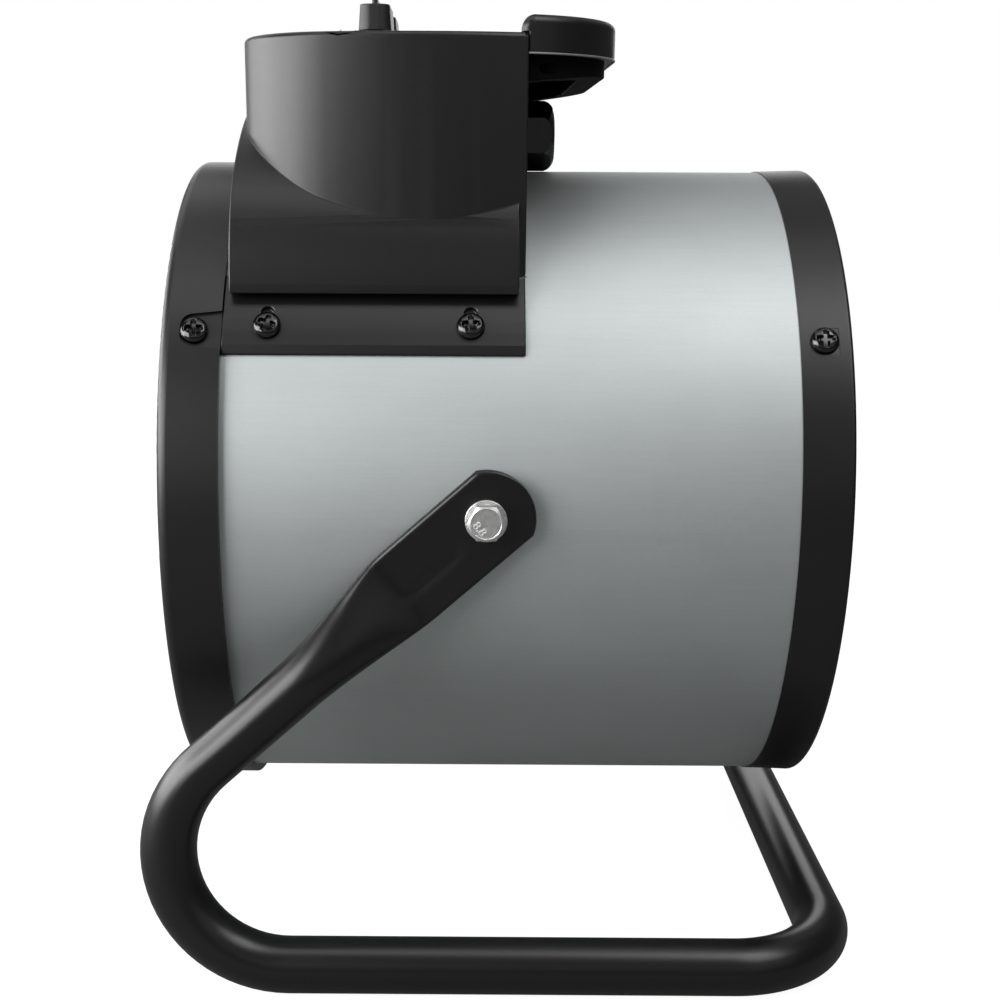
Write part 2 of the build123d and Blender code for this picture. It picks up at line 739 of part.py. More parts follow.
def knob(facing):
    """Bar-grip knob: chamfered round skirt, tapered grip and a pointer ridge, blind spindle bore."""
    with BuildPart() as body:
        with BuildSketch(level(knob_base)) as skirt:
            with Locations((knob_x, facing * knob_y)):
                Circle(knob_skirt_radius)
        extrude(amount=knob_skirt_height)
        rim = body.edges().filter_by(GeomType.CIRCLE).group_by(Axis.Z)[-1]
        chamfer(rim, length=1.5)
        with BuildSketch(level(knob_skirt_top)) as grip:
            with Locations((knob_x, facing * knob_y)):
                RectangleRounded(knob_bar_width, 2 * knob_skirt_radius - 2, knob_bar_width / 2 - 1.5)
        extrude(amount=knob_bar_height, taper=4)
        with BuildSketch(level(knob_bar_top)) as ridge:
            with Locations((knob_x, facing * knob_y)):
                RectangleRounded(knob_ridge_width, 2 * knob_skirt_radius - 8, knob_ridge_width / 2 - 0.1)
        extrude(amount=knob_ridge_height)
        with BuildSketch(level(knob_base)) as bore:
            with Locations((knob_x, facing * knob_y)):
                Circle(spindle_radius + 0.05)
        extrude(amount=spindle_top - knob_base + clearance, mode=Mode.SUBTRACT)
    return body


def spindle(facing):
    """Steel spindle from the control below the panel up into the knob."""
    with BuildPart() as body:
        with BuildSketch(level(spindle_bottom)) as section:
            with Locations((knob_x, facing * knob_y)):
                Circle(spindle_radius)
        extrude(amount=spindle_top - spindle_bottom)
    return body


def control_body(facing, length, width, height):
    """Block of a switch or thermostat under the panel, with its spindle bore and four blades."""
    blade = 7.0
    with BuildPart() as body:
        with BuildSketch(level(switch_top)) as block:
            with Locations((knob_x, facing * knob_y)):
                RectangleRounded(length, width, 3)
        extrude(amount=-height)
        with BuildSketch(level(switch_top)) as bore:
            with Locations((knob_x, facing * knob_y)):
                Circle(spindle_radius + spindle_running_clearance)
        extrude(amount=-spindle_depth - 1, mode=Mode.SUBTRACT)
        with BuildSketch(level(switch_top - height)) as blades:
            with Locations((knob_x, facing * knob_y)):
                with GridLocations(length / 2, width / 2, 2, 2):
                    Rectangle(6.3, 0.8)
        extrude(amount=-blade)
    return body


keep(knob(-1), "selector_knob")
keep(knob(1), "thermostat_knob")
keep(spindle(-1), "selector_spindle")
keep(spindle(1), "thermostat_spindle")
keep(control_body(-1, selector_size, selector_size, selector_height), "selector_switch")
keep(control_body(1, thermostat_length, thermostat_width, thermostat_height), "room_thermostat")

# ---- terminal block on the drum top, beside the gland
with BuildPart() as terminal_block:
    with BuildSketch(level(terminal_top)):
        with Locations((terminal_x, terminal_y)):
            RectangleRounded(terminal_width, terminal_length, 1.5)
    extrude(amount=-30)
    with BuildSketch(level(terminal_top)):
        with Locations((terminal_x, terminal_y)):
            with GridLocations(0, terminal_pitch, 1, terminal_ways):
                Circle(2.4)
    extrude(amount=-6, mode=Mode.SUBTRACT)
    disc(across(terminal_x - terminal_width), drum_radius + clearance, 2 * terminal_width, Mode.SUBTRACT)
keep(terminal_block, "terminal_block")

# ---- carrying handle: a wide D on the right wall with a lip round its outer wall
handle_left = housing_right_x + clearance
heel_left = housing_right_x - handle_heel


def handle_plan(plane, inset):
    """D-shaped outline from above, drawn in by the inset; its back lies over the housing."""
    back = housing_right_x - handle_corner_radius
    with BuildSketch(plane) as plan:
        with BuildLine():
            Polyline(
                (back, handle_half_width),
                (handle_front_x, handle_half_width),
                (handle_front_x, -handle_half_width),
                (back, -handle_half_width),
                close=True,
            )
        make_face()
        fillet(plan.vertices().group_by(Axis.X)[-1], radius=handle_corner_radius)
        if inset:
            offset(amount=-inset, mode=Mode.REPLACE)
    return plan.sketch


def handle_side(points):
    """Outline seen from the side, through the full width, for trimming the handle."""
    with BuildSketch(Plane(origin=(drum_x, 0, 0), x_dir=(1, 0, 0), z_dir=(0, -1, 0))) as side:
        with BuildLine():
            Polyline(points, close=True)
        make_face()
    extrude(side.sketch, amount=2 * handle_half_width, both=True, mode=Mode.SUBTRACT)


with BuildPart() as handle:
    extrude(handle_plan(level(handle_split), 0), amount=handle_wall_height)
    handle_side([
        (-handle_half_width, handle_top + 1),
        (-handle_half_width, handle_split - 1),
        (heel_left, handle_split - 1),
        (heel_left, handle_top + 1),
    ])
    rim = handle.edges().group_by(Axis.Z)[-1]
    heel_edge = rim.sort_by(Axis.X)[0]
    fillet(heel_edge, radius=handle_heel_round)
    fillet(handle.edges().group_by(Axis.Z)[-1].sort_by(Axis.X)[1:], radius=handle_round)
    extrude(handle_plan(level(handle_split), handle_lip), amount=-handle_root_drop)
    handle_side([
        (-handle_half_width, handle_split - 2 * handle_root_drop),
        (handle_left, handle_split - 2 * handle_root_drop),
        (handle_left, housing_top + clearance),
        (-handle_half_width, housing_top + clearance),
    ])
    handle_side([
        (handle_left - 1, handle_split - handle_root_drop),
        (handle_front_x + 1, handle_split - handle_tip_drop),
        (handle_front_x + 1, handle_split - 2 * handle_root_drop),
        (handle_left - 1, handle_split - 2 * handle_root_drop),
    ])
    extrude(handle_plan(level(handle_split - 2 * handle_root_drop), handle_bar), amount=60, mode=Mode.SUBTRACT)
    for facing in (-1, 1):
        handle_screw_hole = wall_plane(handle_left, facing * handle_screw_y, handle_screw_z)
        disc(handle_screw_hole, screw_shank_radius + 0.05, handle_screw_grip + 1, Mode.SUBTRACT)
keep(handle, "handle")


inner_wall_x = housing_right_x - housing_wall
with BuildPart() as handle_screws:
    for facing in (-1, 1):
        seat = wall_plane(inner_wall_x - clearance, facing * handle_screw_y, handle_screw_z)
        disc(seat, screw_head_radius - 1.2, -screw_head_height)
        disc(seat, screw_shank_radius, housing_wall + handle_screw_grip)
keep(handle_screws, "handle_screws")

# ---- cord gland: threaded body through the wall, hexagon cap, rubber seal and locknut inside
gland_front_x = housing_right_x + gland_length
seal_rear_x = housing_right_x + 1.0
seal_front_x = gland_front_x - gland_cap_wall
with BuildPart() as gland_body:
    barrel_rear_x = inner_wall_x - gland_tail
    ring(
        wall_plane(barrel_rear_x, 0, gland_height),
        gland_body_radius,
        gland_bore_radius + 0.4,
        seal_front_x - clearance - barrel_rear_x,
    )
    disc(wall_plane(seal_rear_x, 0, gland_height), gland_seal_radius, gland_length, Mode.SUBTRACT)
keep(gland_body, "gland_body")

with BuildPart() as gland_seal:
    seal_length = seal_front_x - clearance - seal_rear_x
    ring(wall_plane(seal_rear_x, 0, gland_height), gland_seal_radius - 0.05, gland_bore_radius, seal_length)
keep(gland_seal, "gland_seal")

with BuildPart() as gland_cap:
    cap_seat = wall_plane(housing_right_x + clearance, 0, gland_height)
    hexagon(cap_seat, gland_flats, 0, gland_length - clearance, turn=30)
    cap_corner = gland_flats / math.sqrt(3) - clearance
    dome_x = gland_front_x - gland_dome_length
    with BuildSketch(Plane(origin=(drum_x, 0, gland_height), x_dir=(1, 0, 0), z_dir=(0, -1, 0))):
        with BuildLine():
            Polyline(
                (dome_x, cap_corner),
                (housing_right_x, cap_corner),
                (housing_right_x, 0),
                (gland_front_x, 0),
                (gland_front_x, cap_corner - gland_dome_drop),
            )
            RadiusArc(
                (dome_x, cap_corner),
                (gland_front_x, cap_corner - gland_dome_drop),
                1.2 * gland_dome_drop,
            )
        make_face()
    revolve(axis=Axis((drum_x, 0, gland_height), (1, 0, 0)), mode=Mode.INTERSECT)
    disc(
        wall_plane(housing_right_x, 0, gland_height),
        thread_hole_radius,
        seal_front_x - housing_right_x,
        Mode.SUBTRACT,
    )
    disc(wall_plane(housing_right_x, 0, gland_height), gland_bore_radius + 0.6, 2 * gland_length, Mode.SUBTRACT)
keep(gland_cap, "gland_cap")

with BuildPart() as gland_locknut:
    hexagon(
        wall_plane(inner_wall_x - clearance, 0, gland_height),
        gland_flats - 3,
        thread_hole_radius,
        -gland_locknut_thickness,
    )
keep(gland_locknut, "gland_locknut")

# ---- housing screws on the strips that hug the drum
with BuildPart() as housing_screws:
    for x in strip_screw_x:
        for angle in mirrored(strip_screw_angle):
            pan_screw(on_drum(x, angle, strip_outer + clearance))
keep(housing_screws, "housing_screws")


# ---- inner duct with its brackets; the air between duct and drum keeps the outside cool
def spoke_plane(x, angle):
    """Plane square to the drum axis whose local Y points outwards at the angle."""
    turn = math.radians(angle)
    across_spoke = (0, math.sin(turn), -math.cos(turn))
    return Plane(origin=(drum_x + x, 0, axis_height), x_dir=across_spoke, z_dir=(1, 0, 0))


with BuildPart() as inner_duct:
    ring(across(duct_rear_x), duct_radius, duct_radius - duct_wall, duct_front_x - duct_rear_x)
    with BuildSketch(level(axis_height)):
        with Locations(*[(element_x, s * y) for y in element_leg_offsets for s in (-1, 1)]):
            Circle(bush_radius + 0.05)
    extrude(amount=duct_radius + 5, mode=Mode.SUBTRACT)
keep(inner_duct, "inner_duct")

bracket_foot = 8.0
bracket_low = duct_radius + clearance
bracket_high = math.sqrt((shell_inner - clearance) ** 2 - bracket_foot**2)
with BuildPart() as duct_brackets:
    for x in duct_bracket_x:
        for angle in duct_bracket_angles:
            with BuildSketch(spoke_plane(x - duct_bracket_length / 2, angle)):
                half = duct_bracket_thickness / 2
                with BuildLine():
                    Polyline(
                        (-bracket_foot, bracket_low),
                        (half, bracket_low),
                        (half, bracket_high - duct_bracket_thickness),
                        (bracket_foot, bracket_high - duct_bracket_thickness),
                        (bracket_foot, bracket_high),
                        (-half, bracket_high),
                        (-half, bracket_low + duct_bracket_thickness),
                        (-bracket_foot, bracket_low + duct_bracket_thickness),
                        close=True,
                    )
                make_face()
            extrude(amount=duct_bracket_length)
keep(duct_brackets, "duct_brackets")

# ---- motor on a three-armed sheet bracket
motor_bore_radius = shaft_radius + shaft_running_clearance
with BuildPart() as fan_motor:
    disc(across(motor_rear_x), motor_radius, motor_front_x - motor_rear_x)
    disc(across(motor_rear_x), motor_cap_radius, -motor_cap_length)
    disc(across(motor_front_x), shaft_radius + 8, 3)
    disc(across(motor_front_x - shaft_depth), motor_bore_radius, shaft_depth + 3, Mode.SUBTRACT)
keep(fan_motor, "fan_motor")

tab_outer = math.sqrt((shell_inner - clearance) ** 2 - bracket_arm_width**2 / 4)
with BuildPart() as motor_bracket:
    disc(across(bracket_x), motor_radius + 9, bracket_thickness)
    for angle in bracket_angles:
        with BuildSketch(spoke_plane(bracket_x, angle)):
            with Locations((0, (motor_radius + tab_outer) / 2)):
                Rectangle(bracket_arm_width, tab_outer - motor_radius)
        extrude(amount=bracket_thickness)
        with BuildSketch(spoke_plane(bracket_x, angle)):
            with Locations((0, tab_outer - bracket_thickness / 2)):
                Rectangle(bracket_arm_width, bracket_thickness)
        extrude(amount=bracket_tab_length)
    disc(across(bracket_x), motor_radius + clearance, bracket_thickness, Mode.SUBTRACT)
keep(motor_bracket, "motor_bracket")

# ---- fan: shaft, impeller with twisted blades and its nut, turning together
shaft_front_x = fan_x + fan_hub_length / 2 + nut_height + 2
with BuildPart() as motor_shaft:
    disc(across(motor_front_x - shaft_depth + 1), shaft_radius, shaft_front_x - motor_front_x + shaft_depth - 1)
keep(motor_shaft, "motor_shaft")


def blade_section(angle, radius, chord, pitch):
    """Thin section across a blade, turned by its pitch away from the plane of the fan."""
    turn = math.radians(angle)
    lean = math.radians(pitch)
    out = (0, math.cos(turn), math.sin(turn))
    chord_line = (math.sin(lean), -math.cos(lean) * out[2], math.cos(lean) * out[1])
    centre = (drum_x + fan_x, radius * out[1], axis_height + radius * out[2])
    with BuildSketch(Plane(origin=centre, x_dir=chord_line, z_dir=out)) as section:
        Rectangle(chord, fan_blade_thickness)
    return section.sketch


with BuildPart() as fan_impeller:
    disc(across(fan_x - fan_hub_length / 2), fan_hub_radius, fan_hub_length)
    for k in range(fan_blades):
        angle = 90 + 360 * k / fan_blades
        sections = []
        for share in (0.0, 0.5, 1.0):
            radius = fan_hub_radius - 3 + share * (fan_tip_radius - fan_hub_radius + 3)
            chord = fan_root_chord + share * (fan_tip_chord - fan_root_chord)
            pitch = fan_root_pitch + share**0.7 * (fan_tip_pitch - fan_root_pitch)
            sections.append(blade_section(angle, radius, chord, pitch))
        loft(sections)
    disc(across(fan_x - fan_hub_length), shaft_radius + 0.05, 2 * fan_hub_length, Mode.SUBTRACT)
keep(fan_impeller, "fan_impeller")

with BuildPart() as fan_nut:
    hexagon(
        across(fan_x + fan_hub_length / 2 + clearance), bolt_head_flats, shaft_radius + 0.05, nut_height
    )
keep(fan_nut, "fan_nut")


# ---- heating elements: three rod rings in one plane, their legs rising through the duct
def heating_element(ring_radius, leg_offset):
    """Rod bent to an open ring whose two ends turn up side by side."""
    leg_low = math.sqrt(ring_radius**2 - leg_offset**2)
    leg_high = math.sqrt(element_leg_top**2 - leg_offset**2)
    gap = math.degrees(math.asin(leg_offset / ring_radius))
    with BuildPart() as rod:
        with BuildLine(across(element_x)) as path:
            Line((leg_offset, leg_high), (leg_offset, leg_low))
            CenterArc((0, 0), ring_radius, 90 + gap, 360 - 2 * gap)
            Line((-leg_offset, leg_low), (-leg_offset, leg_high))
            fillet(path.vertices().group_by(Axis.Z)[-2], radius=element_leg_bend)
        wire = path.wires()[0]
        with BuildSketch(Plane(origin=wire @ 0, z_dir=wire % 0)):
            Circle(element_rod_radius)
        sweep(path=wire)
    return rod


for name, ring_radius, leg_offset in zip(
    ("inner", "middle", "outer"), element_radii, element_leg_offsets
):
    keep(heating_element(ring_radius, leg_offset), "heating_element_" + name)

with BuildPart() as element_bushes:
    for leg_offset in element_leg_offsets:
        bush_low = axis_height + math.sqrt(duct_radius**2 - leg_offset**2) - bush_rise
        with BuildSketch(level(bush_low)):
            with Locations((element_x, -leg_offset), (element_x, leg_offset)):
                Circle(bush_radius)
                Circle(element_rod_radius + 0.05, mode=Mode.SUBTRACT)
        extrude(amount=2 * bush_rise)
keep(element_bushes, "element_bushes")

support_x = element_x + element_rod_radius + clearance
support_reach = math.sqrt((duct_radius - duct_wall - clearance) ** 2 - support_width**2 / 4)
with BuildPart() as element_support:
    ring(across(support_x), element_radii[0] + support_width / 2, element_radii[0] - support_width / 2, support_thickness)
    for angle in support_angles:
        with BuildSketch(spoke_plane(support_x, angle)):
            with Locations((0, (element_radii[0] + support_reach) / 2)):
                Rectangle(support_width, support_reach - element_radii[0])
        extrude(amount=support_thickness)
        with BuildSketch(spoke_plane(support_x, angle)):
            with Locations((0, support_reach - support_thickness / 2)):
                Rectangle(support_width, support_thickness)
        extrude(amount=support_width)
keep(element_support, "element_support")

# ---- safety cut-out clipped on top of the duct
with BuildPart() as thermal_cutout:
    disc(on_drum(cutout_x, 90, duct_radius + clearance), cutout_radius, cutout_height)
    with BuildSketch(on_drum(cutout_x, 90, duct_radius + clearance + cutout_height)):
        with GridLocations(cutout_radius, 0, 2, 1):
            Rectangle(0.8, 6.3)
    extrude(amount=4)
keep(thermal_cutout, "thermal_cutout")
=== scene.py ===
# %% [markdown]
# # Forced air heater
# A portable drum heater: a steel drum with a fan and ring elements, a black control housing on top,
# and a stand bent from one steel tube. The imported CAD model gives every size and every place.
# This script dresses it: real finishes on the CAD pieces, finer surfaces where the CAD is plain,
# and then a studio with a camera where the photographer stood.

# %% Load the frame
import json

import bmesh
import bpy
import numpy as np
from mathutils import Matrix, Vector
from mathutils.geometry import convex_hull_2d

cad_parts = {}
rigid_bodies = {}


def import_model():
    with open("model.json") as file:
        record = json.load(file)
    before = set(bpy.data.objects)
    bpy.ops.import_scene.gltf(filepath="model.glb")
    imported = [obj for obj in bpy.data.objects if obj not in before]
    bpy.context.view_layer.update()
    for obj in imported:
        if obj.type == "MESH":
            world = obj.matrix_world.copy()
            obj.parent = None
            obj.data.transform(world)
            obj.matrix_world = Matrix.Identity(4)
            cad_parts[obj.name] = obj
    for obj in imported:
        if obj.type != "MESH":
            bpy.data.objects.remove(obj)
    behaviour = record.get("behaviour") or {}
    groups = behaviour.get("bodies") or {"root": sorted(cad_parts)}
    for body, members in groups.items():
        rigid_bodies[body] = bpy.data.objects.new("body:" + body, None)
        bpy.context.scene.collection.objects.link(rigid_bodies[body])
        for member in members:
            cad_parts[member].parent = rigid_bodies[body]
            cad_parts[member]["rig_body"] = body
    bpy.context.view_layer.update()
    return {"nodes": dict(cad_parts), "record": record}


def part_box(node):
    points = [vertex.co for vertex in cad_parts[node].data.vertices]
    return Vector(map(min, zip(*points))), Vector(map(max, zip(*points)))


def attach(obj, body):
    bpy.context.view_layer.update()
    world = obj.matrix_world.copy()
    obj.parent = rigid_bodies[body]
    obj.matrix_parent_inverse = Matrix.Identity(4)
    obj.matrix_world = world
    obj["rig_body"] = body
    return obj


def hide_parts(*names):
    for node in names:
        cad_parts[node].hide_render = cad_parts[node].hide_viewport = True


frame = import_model()
nodes = frame["nodes"]

# %% [markdown]
# ## Helpers for materials
# Screens and paint charts give colours as sRGB hex values, but shaders count in linear light, so one
# function turns them round. A second adds any node, sets it up and links it in one call. The last two
# start a material, and let patterns vary its colour, its gloss and its relief.

# %% Colour and node helpers
MM = 0.001


def linear(code):
    """Linear RGBA of an sRGB hex colour: c / 12.92 below 0.04045, else ((c + 0.055) / 1.055) ^ 2.4."""
    c = np.array([int(code[i:i + 2], 16) for i in (1, 3, 5)]) / 255
    low, high = c / 12.92, ((c + 0.055) / 1.055) ** 2.4
    return (*np.where(c <= 0.04045, low, high).tolist(), 1.0)


def add(tree, kind, sockets=None, stops=(), **settings):
    """Adds one node. Each socket is given a value, or another node's output to link from, and a
    colour ramp is also given its two stops, each a position and a hex colour."""
    node = tree.nodes.new(kind)
    for name, value in settings.items():
        setattr(node, name, value)
    for socket, value in (sockets or {}).items():
        if isinstance(value, bpy.types.NodeSocket):
            tree.links.new(value, node.inputs[socket])
        else:
            node.inputs[socket].default_value = value
    for number, (position, code) in enumerate(stops):
        node.color_ramp.elements[number].position = position
        node.color_ramp.elements[number].color = linear(code)
    return node


def start(name, **constants):
    """A new material with a Principled shader: gives it, its tree, its shader and Object coordinates."""
    material = bpy.data.materials.new(name)
    material.use_nodes = True
    tree = material.node_tree
    shader = tree.nodes["Principled BSDF"]
    for socket, value in constants.items():
        shader.inputs[socket.replace("_", " ")].default_value = value
    place = add(tree, "ShaderNodeTexCoord").outputs["Object"]
    return material, tree, shader, place


def surface(tree, shader, tone, colours, gloss, roughness, relief, depth):
    """Three patterns, each from 0 to 1, vary a shader: tone blends two colours, gloss takes the
    roughness from low to high, and relief tilts the shading as if it stood depth metres high at 1."""
    low, high = roughness
    spread = {"Value": gloss, "From Min": 0.25, "From Max": 0.75, "To Min": low, "To Max": high}
    height = {"Height": relief, "Distance": depth, "Strength": 1.0}
    colour = add(tree, "ShaderNodeValToRGB", {"Fac": tone}, stops=colours).outputs["Color"]
    rough = add(tree, "ShaderNodeMapRange", spread).outputs["Result"]
    normal = add(tree, "ShaderNodeBump", height).outputs["Normal"]
    for socket, output in (("Base Color", colour), ("Roughness", rough), ("Normal", normal)):
        tree.links.new(output, shader.inputs[socket])


finishes = {}
print("helpers ready")

# %% [markdown]
# ## The drum: galvanised sheet steel
# The drum is rolled from zinc coated sheet with a satin, slightly green grey face. Rolling leaves
# hair-fine lines along the sheet and the zinc cools in faint cloudy patches. Lines closer than the
# render can show are drawn 0.6 mm apart. Noise that is stretched along X gives the lines, and slow
# noise gives the clouds, so no image is needed. The duct inside is aluminised, smoother and darker.

# %% Galvanised sheet
def galvanised(name, dark, light, roughness):
    """Satin zinc: hair lines and clouds in the colour, lines in the relief, grain in the gloss."""
    material, tree, shader, place = start(name, Metallic=1.0)
    line_long, line_apart, cloud, grit = 40 * MM, 0.6 * MM, 30 * MM, 0.8 * MM
    stretch = {"Vector": place, "Scale": (1 / line_long, 1 / line_apart, 1 / line_apart)}
    drawn = add(tree, "ShaderNodeMapping", stretch).outputs["Vector"]
    lines = add(tree, "ShaderNodeTexNoise", {"Vector": drawn, "Scale": 1.0, "Detail": 3.0})
    clouds = add(tree, "ShaderNodeTexNoise", {"Vector": place, "Scale": 1 / cloud, "Detail": 5.0})
    grain = add(tree, "ShaderNodeTexNoise", {"Vector": place, "Scale": 1 / grit, "Detail": 2.0})
    lines, clouds, grain = lines.outputs["Fac"], clouds.outputs["Fac"], grain.outputs["Fac"]
    both = add(tree, "ShaderNodeMath", {0: lines, 1: clouds}, operation="ADD").outputs["Value"]
    mean = add(tree, "ShaderNodeMath", {0: both, 1: 0.5}, operation="MULTIPLY").outputs["Value"]
    surface(tree, shader, mean, ((0.3, dark), (0.7, light)),
            grain, (roughness - 0.03, roughness + 0.05), lines, 0.0012 * MM)
    return material


finishes["drum_steel"] = galvanised("galvanised_steel", "#c8cdcd", "#cfd4d4", 0.58)
finishes["sheet_steel"] = galvanised("aluminised_steel", "#9a9c9b", "#b3b4b2", 0.38)
print("galvanised sheets ready")

# %% [markdown]
# ## Moulded plastics
# The housing, the rings and the handle are glass filled nylon, charcoal black. The mould is spark
# eroded, which leaves a grain of about 0.5 mm and a soft, wide gloss. The gland is polished and wet
# looking, the switches are a dull brown-black phenolic, and the seal is matt rubber. One function
# makes them all, since only the colours, the gloss and the grain differ.

# %% Moulded plastic
def moulded(name, dark, light, roughness, grain_size, grain_depth):
    """Plastic: a grain of grain_size metres in the relief and the gloss, flow marks in the colour."""
    material, tree, shader, place = start(name, IOR=1.55)
    flow_mark = 60 * MM
    grain = add(tree, "ShaderNodeTexNoise", {"Vector": place, "Scale": 1 / grain_size, "Detail": 3.0})
    flow = add(tree, "ShaderNodeTexNoise", {"Vector": place, "Scale": 1 / flow_mark, "Detail": 3.0})
    surface(tree, shader, flow.outputs["Fac"], ((0.3, dark), (0.7, light)), grain.outputs["Fac"],
            (roughness - 0.04, roughness + 0.06), grain.outputs["Fac"], grain_depth)
    return material


# Slot, common name, darkest and lightest colour, roughness, grain size and grain depth in mm.
plastics = (
    ("housing_plastic", "spark_eroded_nylon", "#0d0c0c", "#111010", 0.37, 0.5, 0.006),
    ("knob_plastic", "knob_nylon", "#161616", "#1b1b1b", 0.46, 0.5, 0.006),
    ("panel_plastic", "panel_abs", "#2c2c2c", "#323232", 0.42, 0.4, 0.008),
    ("gland_plastic", "polished_nylon", "#060606", "#0a0a0a", 0.16, 1.2, 0.003),
    ("control_plastic", "phenolic", "#1d1a18", "#2a2522", 0.4, 0.6, 0.01),
    ("nylon", "natural_nylon", "#d9d5c8", "#e2dfd4", 0.45, 0.6, 0.006),
    ("seal_rubber", "moulded_rubber", "#151515", "#1c1c1c", 0.7, 0.5, 0.01),
)
for slot, name, dark, light, roughness, grain_size, grain_depth in plastics:
    finishes[slot] = moulded(name, dark, light, roughness, grain_size * MM, grain_depth * MM)
print(len(plastics), "plastics ready")

# %% [markdown]
# ## Paint on the stand
# The tube is powder coated black, semi-gloss. Powder melts into a film with a very shallow orange
# peel, waves about 2.5 mm apart, which softly breaks up the long highlights along the tube. The fan
# motor's case has a thinner grey enamel with finer waves.

# %% Powder coat
def powder_coat(name, dark, light, roughness, peel_size, peel_depth):
    """Painted steel: orange peel waves of peel_size metres, and dust in the colour and the gloss."""
    material, tree, shader, place = start(name, IOR=1.58)
    dust_size = 0.5 * MM
    peel = add(tree, "ShaderNodeTexNoise", {"Vector": place, "Scale": 1 / peel_size, "Detail": 1.0})
    dust = add(tree, "ShaderNodeTexNoise", {"Vector": place, "Scale": 1 / dust_size, "Detail": 2.0})
    surface(tree, shader, dust.outputs["Fac"], ((0.35, dark), (0.65, light)), dust.outputs["Fac"],
            (roughness - 0.03, roughness + 0.04), peel.outputs["Fac"], peel_depth)
    return material


# Slot, common name, darkest and lightest colour, roughness, wave size and wave depth in mm.
paints = (
    ("stand_paint", "black_powder_coat", "#080808", "#0b0b0b", 0.31, 2.5, 0.012),
    ("motor_case", "motor_enamel", "#26282a", "#2e3032", 0.34, 2.0, 0.02),
)
for slot, name, dark, light, roughness, peel_size, peel_depth in paints:
    finishes[slot] = powder_coat(name, dark, light, roughness, peel_size * MM, peel_depth * MM)
print(len(paints), "paints ready")

# %% [markdown]
# ## Plated and bare metals
# Bolts are bright zinc, the drum's screws are blackened and oiled, the grilles are nickel plated wire,
# and the impeller is pressed aluminium. The elements' steel is stained brown by its own heat. Plating
# is never even: slow mottling in the colour and finer mottling in the gloss show that it is metal.

# %% Plated metal
def plated(name, dark, light, roughness, mottle):
    """Metal with mottling of the given size in the colour, and half that size in gloss and relief."""
    material, tree, shader, place = start(name, Metallic=1.0)
    patches = add(tree, "ShaderNodeTexNoise", {"Vector": place, "Scale": 1 / mottle, "Detail": 4.0})
    fine = add(tree, "ShaderNodeTexNoise", {"Vector": place, "Scale": 2 / mottle, "Detail": 2.0})
    surface(tree, shader, patches.outputs["Fac"], ((0.3, dark), (0.7, light)), fine.outputs["Fac"],
            (roughness - 0.05, roughness + 0.06), fine.outputs["Fac"], 0.006 * MM)
    return material


# Slot, common name, darkest and lightest colour, roughness and size of the mottling in mm.
metals = (
    ("zinc", "bright_zinc", "#d9d9d8", "#efefee", 0.45, 2),
    ("black_screw", "blackened_steel", "#454545", "#4e4e4e", 0.13, 1),
    ("grille_steel", "nickel_plated_wire", "#a5a39e", "#bbb9b4", 0.34, 9),
    ("bright_steel", "ground_steel", "#a5a5a3", "#bfbfbd", 0.25, 3),
    ("fan_aluminium", "pressed_aluminium", "#b5b6b8", "#cfd0d2", 0.34, 6),
    ("element_steel", "heat_stained_steel", "#4e4640", "#75685c", 0.42, 9),
)
for slot, name, dark, light, roughness, mottle in metals:
    finishes[slot] = plated(name, dark, light, roughness, mottle * MM)
print(len(metals), "metals ready")

# %% [markdown]
# ## Steatite bushes
# The elements leave the duct through bushes of glazed steatite, a creamy ceramic with pin-head specks.
# Voronoi cells 1.5 mm wide have their middles scattered like the specks, so distance from a middle
# gives the dark dots.

# %% Steatite
material, tree, shader, place = start("glazed_steatite", IOR=1.6)
cell = 1.5 * MM
specks = add(tree, "ShaderNodeTexVoronoi", {"Vector": place, "Scale": 1 / cell}).outputs["Distance"]
surface(tree, shader, specks, ((0.05, "#b3a68c"), (0.16, "#e6dfcf")),
        specks, (0.2, 0.3), specks, 0.004 * MM)
finishes["ceramic"] = material
print("steatite ready")

# %% [markdown]
# ## Finishes onto the CAD pieces
# Each CAD piece's record names its material slot, so one loop gives every piece its finish.

# %% Dress the CAD pieces
slot_of = {part["node"]: part["material_slot"] for part in frame["record"]["subparts"]}
for name, node in nodes.items():
    finish = finishes[slot_of[name]]
    for index in range(max(1, len(node.data.materials))):
        if len(node.data.materials) <= index:
            node.data.materials.append(finish)
        node.data.materials[index] = finish
print(len(nodes), "pieces dressed with", len(finishes), "finishes")

# %% [markdown]
# ## Surfaces from formulas
# Where the CAD is plain, a finer piece takes its place. Each is a grid of points worked out as one
# array: ring after ring of a profile. The same helpers turn every grid into a mesh, so the pieces
# differ only in their formulas. Each new piece takes its body from the CAD piece that it belongs to,
# and its finish too, unless it has one of its own.

# %% Grid to mesh
POINTS = 96  # on each ring
AROUND = np.arange(POINTS) * 2 * np.pi / POINTS


def smooth(x):
    """0 below 0, 1 above 1, and an S curve 3 x^2 - 2 x^3 between."""
    x = np.clip(x, 0, 1)
    return x * x * (3 - 2 * x)


def placed(name, mesh, node, replaced, crease, finish=None):
    """Links a mesh as a piece with a CAD node's body, smooth but for edges over crease, in degrees, and
    with the finish of the node's slot unless it is given another."""
    mesh.polygons.foreach_set("use_smooth", np.ones(len(mesh.polygons), dtype=bool))
    mesh.set_sharp_from_angle(angle=np.radians(crease))
    mesh.materials.clear()
    mesh.materials.append(finish or finishes[slot_of[node]])
    piece = bpy.data.objects.new(name, mesh)
    bpy.context.collection.objects.link(piece)
    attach(piece, nodes[node]["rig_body"])
    if replaced:
        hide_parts(node)
    return piece


